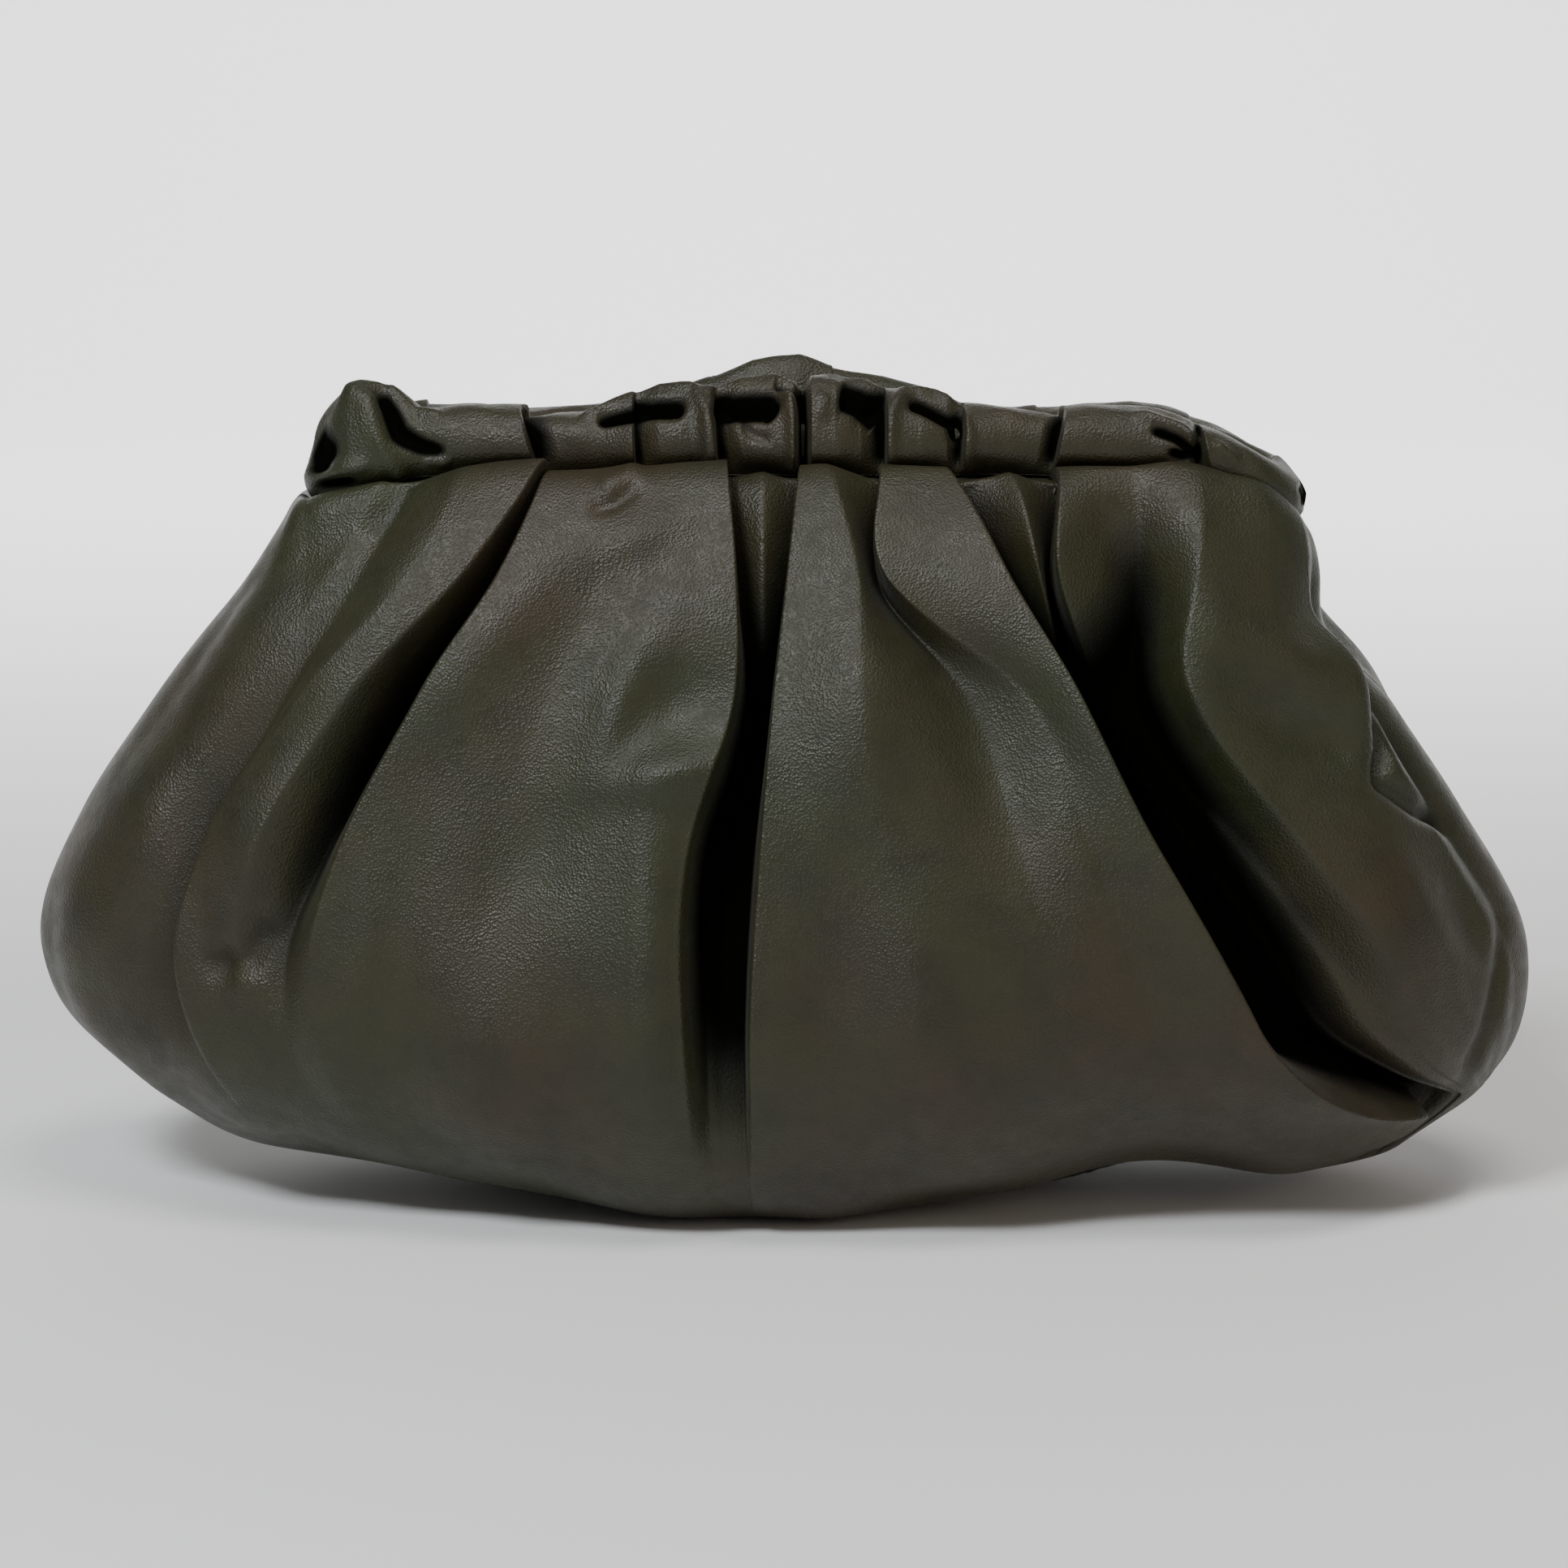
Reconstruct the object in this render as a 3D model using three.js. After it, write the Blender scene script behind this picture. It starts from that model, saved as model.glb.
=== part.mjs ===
// A soft clutch bag of gathered leather on a hidden hinge frame.
// Two pleated leather panels meet at the side seams and along the base. Each hangs below one rail of the
// frame, and a gathered leather sleeve covers each rail. The mouth is the slot between the two sleeves.
// Millimetres, +Z up, +X to the right seen from the front, the front faces -Y, and z = 0 is the table.
import * as THREE from "three";

const { lerp, clamp, smoothstep } = THREE.MathUtils;

// Driving sizes of the bag.
const bagLength = 310;
const bagDepth = 120;
const seamHeight = 149.3;
const leatherWall = 2.0;
const foldDepth = 16;
const foldSpacing = 0.012;

// Shares of the leather's run over which the folds rise below the mouth and flatten again above the base.
const foldStart = 0.03;
const foldFull = 0.06;
const foldFade = 0.74;
const foldEnd = 0.83;
const seamGap = 0.4;
const seamClearance = 0.3;

// Driving sizes of the hinge frame, a loop of flat bar with its two long sides as the rails.
const frameLeft = 92;
const frameRight = 101;
const frameEndRadius = 9;
const barWidth = 5;
const barHeight = 7.6;
const fitGap = 0.3;
const crownGap = 0.7;

// How far the ends of the frame bend down, and over what length. The leather below follows the bend, less
// and less from bendStart of its run down to bendReach.
const leftDrop = 7;
const rightDrop = 11;
const dropRun = 26;
const bendStart = 0.05;
const bendReach = 0.32;

// The gathered sleeve over a rail: an oval section, open below.
const sleeveHalfWidth = 6;
const sleeveHalfHeight = 7.7;
const sleeveOpenAngle = 50;
const pleatRise = 2.5;
const puffRise = 9;

// Mesh fineness: where the rows of a panel lie down its run, and steps in millimetres along it and the rail.
const panelRows = [0, 0.03, 0.055, 0.08, 0.12, 0.165, 0.21, 0.26, 0.31, 0.36, 0.41, 0.46, 0.51, 0.56, 0.61,
  0.66, 0.71, 0.76, 0.8, 0.84, 1];
const panelColumnPitch = 11.5;
const railPitch = 8;
const railEndPitch = 3.5;
const sleeveSteps = 8;

const halfLength = bagLength / 2;
const halfDepth = bagDepth / 2;
const sleeveOpening = THREE.MathUtils.degToRad(sleeveOpenAngle);
const sleeveFoot = sleeveHalfHeight * Math.sin(sleeveOpening);
const railHeight = seamHeight + seamClearance + sleeveFoot;

// Horizontal sections of one panel, from the mouth down the side and in under the base to the bottom seam.
// down: share of the leather's run. height: share of seamHeight. left, right: shares of halfLength.
// depth: share of halfDepth. corner: how square the section is, where 2 is an ellipse.
const panelSections = [
  { down: 0.000, height: 1.000, left: 0.590, right: 0.648, depth: 0.125, corner: 6.0 },
  { down: 0.030, height: 0.999, left: 0.618, right: 0.675, depth: 0.230, corner: 5.5 },
  { down: 0.055, height: 1.009, left: 0.640, right: 0.694, depth: 0.310, corner: 4.6 },
  { down: 0.090, height: 0.978, left: 0.660, right: 0.706, depth: 0.400, corner: 4.0 },
  { down: 0.185, height: 0.857, left: 0.732, right: 0.718, depth: 0.567, corner: 3.0 },
  { down: 0.300, height: 0.697, left: 0.832, right: 0.800, depth: 0.758, corner: 2.5 },
  { down: 0.415, height: 0.536, left: 0.935, right: 0.903, depth: 0.900, corner: 2.3 },
  { down: 0.530, height: 0.368, left: 0.997, right: 0.992, depth: 0.990, corner: 2.2 },
  { down: 0.635, height: 0.214, left: 0.950, right: 0.990, depth: 1.000, corner: 2.3 },
  { down: 0.730, height: 0.080, left: 0.846, right: 0.942, depth: 0.925, corner: 2.4 },
  { down: 0.800, height: 0.010, left: 0.735, right: 0.845, depth: 0.760, corner: 2.5 },
  { down: 0.840, height: 0.000, left: 0.697, right: 0.813, depth: 0.640, corner: 2.5 },
  { down: 1.000, height: 0.000, left: 0.684, right: 0.800, depth: 0.000, corner: 2.5 },
];

// The levels, as shares of the leather's run, at which each fold line of the front panel is placed.
const foldLevels = [0.055, 0.17, 0.275, 0.415, 0.575, 0.715];

// Fold lines of the front panel, from the left side seam to the right one, crests and hollows in turn.
// across: where the line runs at each level, as a share of the half-width there.
// rise: how far it stands proud of the plain form at each level, as a share of foldDepth.
// round: how broad its top or bottom is, as a share of the half-width.
const frontFolds = [
  { name: "left_crest", round: 0.07,
    across: [-0.80, -0.73, -0.81, -0.88, -0.88, -0.90],
    rise: [0.03, 0.09, 0.12, 0.09, 0.06, 0] },
  { name: "left_hollow", round: 0.07,
    across: [-0.73, -0.68, -0.72, -0.81, -0.79, -0.80],
    rise: [-0.03, -0.06, -0.12, -0.16, -0.12, 0] },
  { name: "a_face", round: 0.08,
    across: [-0.63, -0.60, -0.67, -0.74, -0.71, -0.72],
    rise: [0.09, 0.12, 0.16, 0.22, 0.03, 0] },
  { name: "a_lip", round: 0.02,
    across: [-0.47, -0.535, -0.63, -0.69, -0.68, -0.68],
    rise: [0.16, 0.06, 0.03, 0.03, 0, 0] },
  { name: "ab_hollow", round: 0.02,
    across: [-0.475, -0.497, -0.59, -0.64, -0.645, -0.65],
    rise: [-0.09, -0.32, -0.69, -0.50, -0.03, 0] },
  { name: "b_left_crest", round: 0.02,
    across: [-0.455, -0.502, -0.583, -0.61, -0.615, -0.62],
    rise: [0, 0.19, 0.25, 0.19, 0.06, 0] },
  { name: "b_middle", round: 0.10,
    across: [-0.352, -0.331, -0.352, -0.36, -0.36, -0.39],
    rise: [0.03, 0.06, 0.03, 0.03, 0.09, 0.03] },
  { name: "b_crest", round: 0.06,
    across: [-0.181, -0.17, -0.211, -0.194, -0.18, -0.165],
    rise: [0.12, 0.19, 0.22, 0.28, 0.22, 0.06] },
  { name: "b_right_lip", round: 0.02,
    across: [-0.13, -0.089, -0.10, -0.11, -0.121, -0.127],
    rise: [0.16, 0.22, 0.03, 0.19, 0.16, 0.06] },
  { name: "bc_hollow", round: 0.015,
    across: [-0.133, -0.075, -0.055, -0.072, -0.082, -0.083],
    rise: [-0.06, -0.31, -0.62, -0.62, -0.44, -0.06] },
  { name: "c_crest", round: 0.015,
    across: [-0.036, -0.028, -0.042, -0.060, -0.067, -0.062],
    rise: [0.03, -0.12, -0.81, -0.81, -0.50, -0.09] },
  { name: "cd_hollow", round: 0.015,
    across: [0.041, 0.018, -0.022, -0.044, -0.050, -0.040],
    rise: [-0.09, -0.38, -0.88, -0.88, -0.56, -0.09] },
  { name: "d_left_crest", round: 0.015,
    across: [0.035, 0.006, -0.014, -0.029, -0.033, -0.022],
    rise: [0.12, 0.22, 0.25, 0.25, 0.19, 0.03] },
  { name: "d_crest", round: 0.04,
    across: [0.094, 0.125, 0.20, 0.21, 0.22, 0.25],
    rise: [0.14, 0.22, 0.22, 0.25, 0.19, 0.06] },
  { name: "de_hollow", round: 0.015,
    across: [0.191, 0.158, 0.29, 0.32, 0.33, 0.36],
    rise: [-0.06, -0.25, 0.09, 0.16, 0.16, 0.06] },
  { name: "e_left_lip", round: 0.03,
    across: [0.193, 0.172, 0.35, 0.38, 0.39, 0.44],
    rise: [0.14, 0.19, 0.19, 0.22, 0.19, 0.06] },
  { name: "e_right_crest", round: 0.025,
    across: [0.338, 0.413, 0.476, 0.519, 0.585, 0.75],
    rise: [0.16, 0.31, 0.41, 0.44, 0.41, 0.09] },
  { name: "ef_hollow", round: 0.02,
    across: [0.351, 0.424, 0.483, 0.528, 0.596, 0.775],
    rise: [-0.09, -0.38, -0.81, -0.94, -0.88, -0.19] },
  { name: "f_crest", round: 0.02,
    across: [0.421, 0.469, 0.515, 0.556, 0.625, 0.81],
    rise: [0.06, 0, -0.84, -1.0, -0.88, -0.19] },
  { name: "fg_hollow", round: 0.015,
    across: [0.536, 0.499, 0.548, 0.590, 0.655, 0.85],
    rise: [-0.12, -0.44, -0.84, -0.97, -0.81, -0.19] },
  { name: "g_left_lip", round: 0.02,
    across: [0.542, 0.516, 0.580, 0.635, 0.685, 0.88],
    rise: [0.12, 0.16, -0.50, -0.50, -0.12, 0.03] },
  { name: "g_hollow", round: 0.02,
    across: [0.676, 0.660, 0.612, 0.665, 0.715, 0.90],
    rise: [0.12, -0.06, -0.38, -0.19, 0.12, 0.06] },
  { name: "g_crest", round: 0.03,
    across: [0.788, 0.735, 0.645, 0.705, 0.760, 0.915],
    rise: [0.16, 0.25, 0.25, 0.25, 0.22, 0.09] },
  { name: "g_face", round: 0.05,
    across: [0.90, 0.87, 0.83, 0.82, 0.84, 0.93],
    rise: [0.09, 0.25, 0.31, 0.25, 0.19, 0.06] },
  { name: "side_crest", round: 0.015,
    across: [0.965, 0.955, 0.945, 0.93, 0.92, 0.955],
    rise: [0.03, 0.16, 0.25, 0.12, 0.09, 0.03] },
  { name: "side_hollow", round: 0.01,
    across: [0.985, 0.98, 0.975, 0.965, 0.96, 0.975],
    rise: [0, -0.12, -0.19, -0.12, 0, 0] },
];

// Folds of the back panel, plain pleats that fan out from the rail. top and foot: where the crest starts and
// ends, as shares of the half-width. rise: its height over the hollow beside it, as a share of foldDepth.
// reach: how far down it runs. hollow: how far beside the crest its hollow lies, with the side as its sign.
const backFolds = [
  { name: "pleat_1", top: -0.80, foot: -0.86, rise: 0.30, reach: 0.62, hollow: 0.055 },
  { name: "pleat_2", top: -0.56, foot: -0.64, rise: 0.75, reach: 0.74, hollow: 0.050 },
  { name: "pleat_3", top: -0.36, foot: -0.40, rise: 0.40, reach: 0.52, hollow: 0.045 },
  { name: "pleat_4", top: -0.17, foot: -0.16, rise: 0.95, reach: 0.78, hollow: 0.045 },
  { name: "pleat_5", top: 0.06, foot: 0.10, rise: 0.45, reach: 0.56, hollow: -0.045 },
  { name: "pleat_6", top: 0.26, foot: 0.34, rise: 0.90, reach: 0.80, hollow: -0.050 },
  { name: "pleat_7", top: 0.50, foot: 0.60, rise: 0.55, reach: 0.64, hollow: -0.050 },
  { name: "pleat_8", top: 0.76, foot: 0.82, rise: 0.60, reach: 0.70, hollow: -0.055 },
];

// What the back panel's pleats share: see backKnots.
const plainPleat = { full: 0.2, fade: 0.6, least: 0.16, crest: 0.4, round: 0.025 };

// Pleats of the front sleeve. at: place along the rail as a share of its half-length. front: how far the
// pleat stands proud on the front, as a share of pleatRise. top: the same at the top, as a share of puffRise.
const frontPleats = [
  { at: -0.91, front: 0.4, top: 0.44 },
  { at: -0.80, front: 1.0, top: 0.38 },
  { at: -0.79, front: -0.4, top: -0.05 },
  { at: -0.65, front: 0.4, top: 0.05 },
  { at: -0.518, front: 0.8, top: 0.09 },
  { at: -0.510, front: -0.4, top: -0.12 },
  { at: -0.41, front: 0.1, top: -0.11 },
  { at: -0.307, front: 0.5, top: 0 },
  { at: -0.300, front: -0.3, top: -0.11 },
  { at: -0.217, front: 0.2, top: 0 },
  { at: -0.138, front: 0.8, top: 0.28 },
  { at: -0.130, front: -0.3, top: -0.12 },
  { at: -0.054, front: 0.1, top: -0.05 },
  { at: 0.030, front: 0.6, top: 0.44 },
  { at: 0.044, front: -0.6, top: 0.22 },
  { at: 0.058, front: 0.6, top: 0.44 },
  { at: 0.120, front: 0.2, top: 0.05 },
  { at: 0.186, front: -0.4, top: -0.11 },
  { at: 0.194, front: 0.6, top: 0.22 },
  { at: 0.267, front: 0.3, top: 0.05 },
  { at: 0.325, front: -0.4, top: -0.11 },
  { at: 0.333, front: 0.6, top: 0.11 },
  { at: 0.425, front: 0.2, top: 0 },
  { at: 0.502, front: -0.4, top: -0.12 },
  { at: 0.510, front: 0.8, top: 0.11 },
  { at: 0.640, front: 0.5, top: 0.09 },
  { at: 0.760, front: 0.4, top: 0 },
  { at: 0.774, front: -0.4, top: -0.12 },
  { at: 0.784, front: 0.5, top: -0.11 },
  { at: 0.890, front: 0.2, top: -0.05 },
];

// Pleats of the back sleeve, whose middle puffs up higher than the front one.
const backPleats = [
  { at: -0.91, front: 0.4, top: 0.44 },
  { at: -0.76, front: 0.8, top: 0.11 },
  { at: -0.74, front: -0.4, top: 0 },
  { at: -0.56, front: 0.6, top: 0 },
  { at: -0.54, front: -0.4, top: -0.11 },
  { at: -0.34, front: 0.6, top: 0.11 },
  { at: -0.32, front: -0.4, top: 0.05 },
  { at: -0.17, front: 0.7, top: 0.55 },
  { at: -0.15, front: -0.3, top: 0.44 },
  { at: 0.00, front: 0.5, top: 0.95 },
  { at: 0.12, front: 0.6, top: 0.66 },
  { at: 0.14, front: -0.3, top: 0.5 },
  { at: 0.30, front: 0.6, top: 0.22 },
  { at: 0.32, front: -0.4, top: 0.05 },
  { at: 0.50, front: 0.6, top: 0 },
  { at: 0.52, front: -0.4, top: 0 },
  { at: 0.68, front: 0.5, top: 0.11 },
  { at: 0.78, front: 0.5, top: -0.11 },
  { at: 0.80, front: -0.4, top: -0.12 },
  { at: 0.90, front: 0.2, top: -0.05 },
];

// Leather and metal.
const leather = new THREE.MeshStandardMaterial({ color: 0x3e3c30, roughness: 0.45, metalness: 0 });
const sleeveLeather = new THREE.MeshStandardMaterial({ color: 0x42402f, roughness: 0.42, metalness: 0 });
const coatedSteel = new THREE.MeshStandardMaterial({ color: 0x4a2f22, roughness: 0.5, metalness: 0.3 });

// The smooth curve through a table's values at their places.
function curveThrough(places, values, place) {
  const last = places.length - 1;
  const p = clamp(place, places[0], places[last]);
  let i = 0;
  while (i < last - 1 && p > places[i + 1]) i++;
  const slope = (k) => {
    const before = Math.max(k - 1, 0);
    const after = Math.min(k + 1, last);
    return (values[after] - values[before]) / (places[after] - places[before]);
  };
  const run = places[i + 1] - places[i];
  return hermite(values[i], values[i + 1], slope(i) * run, slope(i + 1) * run, (p - places[i]) / run);
}

function hermite(start, end, startSlope, endSlope, share) {
  const s2 = share * share;
  const s3 = s2 * share;
  return start * (2 * s3 - 3 * s2 + 1) + end * (3 * s2 - 2 * s3)
    + startSlope * (s3 - 2 * s2 + share) + endSlope * (s3 - s2);
}

// How far the frame, its sleeves and the leather's top edge bend down at this place along the bag.
function endDrop(x) {
  const left = Math.max(0, (-x - (frameLeft - dropRun)) / dropRun);
  const right = Math.max(0, (x - (frameRight - dropRun)) / dropRun);
  return leftDrop * left * left + rightDrop * right * right;
}

// The angle round a section of that squareness at which x is this share of the half-width.
function angleAt(share, corner) {
  return Math.acos(Math.sign(share) * Math.pow(Math.min(1, Math.abs(share)), corner / 2));
}

// A point of a rounded-square loop: x and y for an angle from pi, the left end, to 0, the right end.
function onLoop(angle, left, right, depth, corner) {
  const c = Math.cos(angle);
  const x = Math.sign(c) * Math.pow(Math.abs(c), 2 / corner) * (c < 0 ? left : right);
  return [x, -depth * Math.pow(Math.abs(Math.sin(angle)), 2 / corner)];
}

// A point of the plain panel, without folds. side is 1 for the front and -1 for the back.
function plainPoint(angle, down, side) {
  const places = panelSections.map((row) => row.down);
  const column = (name) => curveThrough(places, panelSections.map((row) => row[name]), down);
  const [x, y] = onLoop(angle, column("left") * halfLength, column("right") * halfLength,
    column("depth") * halfDepth, column("corner"));
  const bend = endDrop(x) * (1 - smoothstep(down, bendStart, bendReach));
  const z = Math.max(0, column("height") * seamHeight) - bend;
  return new THREE.Vector3(x, side * y, z);
}

// The direction straight out of the plain panel.
function plainNormal(angle, down, side) {
  const step = 0.004;
  const a = clamp(angle, step, Math.PI - step);
  const d = clamp(down, step, 1 - step);
  const across = plainPoint(a - step, d, side).sub(plainPoint(a + step, d, side));
  const along = plainPoint(a, d + step, side).sub(plainPoint(a, d - step, side));
  return along.cross(across).multiplyScalar(side).normalize();
}

// Where the fold lines of the front panel lie at this level: share of the half-width, height and roundness.
function frontKnots(down) {
  const knots = frontFolds.map((fold) => ({
    across: curveThrough(foldLevels, fold.across, down),
    rise: curveThrough(foldLevels, fold.rise, down) * foldDepth * foldStrength(down),
    round: fold.round,
  }));
  return withSeams(knots);
}

// How much of their depth all folds keep at this level.
function foldStrength(down) {
  return smoothstep(down, foldStart, foldFull) * (1 - smoothstep(down, foldFade, foldEnd));
}

// The same for the back panel: a crest and a hollow for each pleat.
// A pleat starts flat at the rail, is deepest at plainPleat.full
// and fades out between plainPleat.fade of its reach and its reach.
function backKnots(down) {
  const knots = [];
  for (const fold of backFolds) {
    const fullness = smoothstep(down, 0, plainPleat.full)
      * (1 - smoothstep(down, plainPleat.fade * fold.reach, fold.reach));
    const share = lerp(plainPleat.least, 1, fullness);
    const crest = lerp(fold.top, fold.foot, smoothstep(down, 0, plainPleat.fade));
    const height = fold.rise * foldDepth * share * foldStrength(down);
    const pair = [
      { across: crest, rise: plainPleat.crest * height, round: plainPleat.round },
      { across: crest + fold.hollow * share, rise: (plainPleat.crest - 1) * height, round: plainPleat.round },
    ];
    if (fold.hollow < 0) pair.reverse();
    knots.push(...pair);
  }
  return withSeams(knots);
}

// The fold lines between the two side seams, each kept a little to the right of the one before.
function withSeams(knots) {
  const seam = (across) => ({ across, rise: 0, round: foldSpacing });
  const all = [seam(-1), ...knots, seam(1)];
  for (let k = 1; k < all.length; k++) {
    all[k].across = Math.max(all[k].across, all[k - 1].across + foldSpacing);
  }
  return all;
}

// Columns of a panel: how many steps each stretch between two fold lines gets.
function columnPlan(knotsAt) {
  const middle = knotsAt(foldLevels[3]);
  const plan = [];
  for (let k = 0; k < middle.length - 1; k++) {
    const turns = [middle[k], middle[k + 1]].map((knot) => angleAt(knot.across, 2));
    const width = (turns[0] - turns[1]) * halfLength;
    const steps = Math.max(1, Math.round(width / panelColumnPitch));
    for (let i = 0; i < steps; i++) plan.push({ knot: k, share: i / steps });
  }
  plan.push({ knot: middle.length - 2, share: 1 });
  return plan;
}

// A closed solid between an outer and an inner grid of points, joined along all four edges.
function shellBetween(outer, inner) {
  const rows = outer.length;
  const columns = outer[0].length;
  const positions = [];
  for (const point of [...outer.flat(), ...inner.flat()]) positions.push(point.x, point.y, point.z);
  const index = [];
  const at = (layer, r, c) => layer * rows * columns + r * columns + c;
  // The first half is split along one diagonal and the second half along the other,
  // so that the two ends match.
  const quad = (firstHalf, a, b, c, d) => {
    if (firstHalf) index.push(a, b, d, b, c, d);
    else index.push(a, b, c, a, c, d);
  };
  const end = columns - 1;
  const foot = rows - 1;
  for (let r = 0; r < foot; r++) {
    for (let c = 0; c < end; c++) {
      quad(c < end / 2, at(0, r, c), at(0, r + 1, c), at(0, r + 1, c + 1), at(0, r, c + 1));
      quad(c >= end / 2, at(1, r, c + 1), at(1, r + 1, c + 1), at(1, r + 1, c), at(1, r, c));
    }
    quad(r < foot / 2, at(0, r, 0), at(1, r, 0), at(1, r + 1, 0), at(0, r + 1, 0));
    quad(r >= foot / 2, at(0, r + 1, end), at(1, r + 1, end), at(1, r, end), at(0, r, end));
  }
  for (let c = 0; c < end; c++) {
    quad(c < end / 2, at(0, 0, c), at(0, 0, c + 1), at(1, 0, c + 1), at(1, 0, c));
    quad(c < end / 2, at(0, foot, c), at(1, foot, c), at(1, foot, c + 1), at(0, foot, c + 1));
  }
  return facingOut(positions, index);
}

// A geometry whose faces point out, whichever way round its grid ran.
function facingOut(positions, index) {
  const corner = (i) => new THREE.Vector3().fromArray(positions, 3 * index[i]);
  let volume = 0;
  for (let i = 0; i < index.length; i += 3) {
    volume += corner(i).dot(corner(i + 1).cross(corner(i + 2))) / 6;
  }
  if (volume < 0) index.reverse();
  const geometry = new THREE.BufferGeometry();
  geometry.setAttribute("position", new THREE.Float32BufferAttribute(positions, 3));
  geometry.setIndex(index);
  geometry.computeVertexNormals();
  return geometry;
}

// Keeps a point on its own side of the seam plane, with half the seam's gap,
// and no lower than the floor given.
function behindSeam(point, side, floor = 0) {
  point.y = side * Math.min(side * point.y, -seamGap / 2);
  point.z = Math.max(floor, point.z);
  return point;
}

// One leather panel: a folded outer face, and an inner face that lies a wall's thickness below its hollows.
function panelGeometry(knotsAt, side) {
  const plan = columnPlan(knotsAt);
  const outer = [];
  const inner = [];
  for (const down of panelRows) {
    const knots = knotsAt(down);
    const corner = curveThrough(
      panelSections.map((row) => row.down),
      panelSections.map((row) => row.corner),
      down,
    );
    const profile = plan.map(({ knot, share }) => {
      const [from, to] = [knots[knot], knots[knot + 1]];
      const across = hermite(from.across, to.across, from.round, to.round, share);
      return { angle: angleAt(clamp(across, -1, 1), corner), rise: hermite(from.rise, to.rise, 0, 0, share) };
    });
    outer.push(profile.map(({ angle, rise }) => {
      const point = plainPoint(angle, down, side);
      return behindSeam(point.addScaledVector(plainNormal(angle, down, side), rise), side);
    }));
    inner.push(profile.map(({ angle }, i) => {
      const near = profile.slice(Math.max(0, i - 1), i + 2).map((place) => place.rise);
      const point = plainPoint(angle, down, side);
      const depth = Math.min(...near) - leatherWall;
      return behindSeam(point.addScaledVector(plainNormal(angle, down, side), depth), side, leatherWall);
    }));
  }
  return shellBetween(outer, inner);
}

// A place on one rail: its point, and the direction straight out. at is -1 at the left end of the frame,
// where the two rails meet, 0 at the middle of the bag and 1 at the right end.
function railPlace(at, side) {
  const end = (Math.PI / 2) * frameEndRadius;
  const reach = (at < 0 ? frameLeft : frameRight) - frameEndRadius;
  const run = Math.abs(at) * (reach + end);
  const bend = Math.max(0, run - reach) / frameEndRadius;
  const x = Math.sign(at) * (Math.min(run, reach) + frameEndRadius * Math.sin(bend));
  const y = -side * frameEndRadius * Math.cos(bend);
  const out = new THREE.Vector3(Math.sign(at) * Math.sin(bend), -side * Math.cos(bend), 0);
  return { point: new THREE.Vector3(x, y, railHeight - endDrop(x)), out };
}

// The stations along a rail: the pleats' edges, and steps between them that are finer round the ends.
function railStations(pleats) {
  const knots = [{ at: -1, front: 0, top: 0 }, ...pleats, { at: 1, front: 0, top: 0 }];
  const stations = [];
  for (let k = 0; k < knots.length - 1; k++) {
    const [from, to] = [knots[k], knots[k + 1]];
    const pitch = k === 0 || k === knots.length - 2 ? railEndPitch : railPitch;
    const steps = Math.max(1, Math.round(((to.at - from.at) * frameLeft) / pitch));
    for (let i = 0; i < steps; i++) {
      const share = i / steps;
      stations.push({
        at: lerp(from.at, to.at, share),
        front: hermite(from.front, to.front, 0, 0, share) * pleatRise,
        top: hermite(from.top, to.top, 0, 0, share) * puffRise,
      });
    }
  }
  stations.push(knots[knots.length - 1]);
  return stations;
}

// One gathered sleeve, an arch of leather over a rail, open below where the panel is sewn in.
function sleeveGeometry(pleats, side) {
  const boreHalfWidth = barWidth / 2 + fitGap;
  const boreTop = barHeight / 2 + crownGap;
  const bore = [[1, -sleeveFoot], [1, boreTop], [0, boreTop], [-1, boreTop], [-1, -sleeveFoot]];
  const outer = [];
  const inner = [];
  for (let i = 0; i <= sleeveSteps; i++) {
    const turn = lerp(-sleeveOpening, Math.PI + sleeveOpening, i / sleeveSteps);
    const toFront = Math.max(0, Math.cos(turn)) * smoothstep(turn, -sleeveOpening, 0);
    const toTop = Math.max(0, Math.sin(turn)) ** 2;
    const boreShare = (i / sleeveSteps) * (bore.length - 1);
    const k = Math.min(bore.length - 2, Math.floor(boreShare));
    const boreReach = lerp(bore[k][0], bore[k + 1][0], boreShare - k) * boreHalfWidth;
    const boreRise = lerp(bore[k][1], bore[k + 1][1], boreShare - k);
    const outerRow = [];
    const innerRow = [];
    for (const { at, front, top } of railStations(pleats)) {
      const { point, out } = railPlace(at, side);
      const reach = sleeveHalfWidth * Math.cos(turn) + front * toFront;
      const rise = sleeveHalfHeight * Math.sin(turn) + top * toTop;
      outerRow.push(sectionPoint(point, out, reach, rise, side));
      innerRow.push(sectionPoint(point, out, boreReach, boreRise, side));
    }
    outer.push(outerRow);
    inner.push(innerRow);
  }
  return shellBetween(outer, inner);
}

// A point of a section that stands across a rail, kept on its own side of the seam plane.
function sectionPoint(point, out, reach, rise, side) {
  const place = point.clone().addScaledVector(out, reach);
  place.z += rise;
  return behindSeam(place, side);
}

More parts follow.
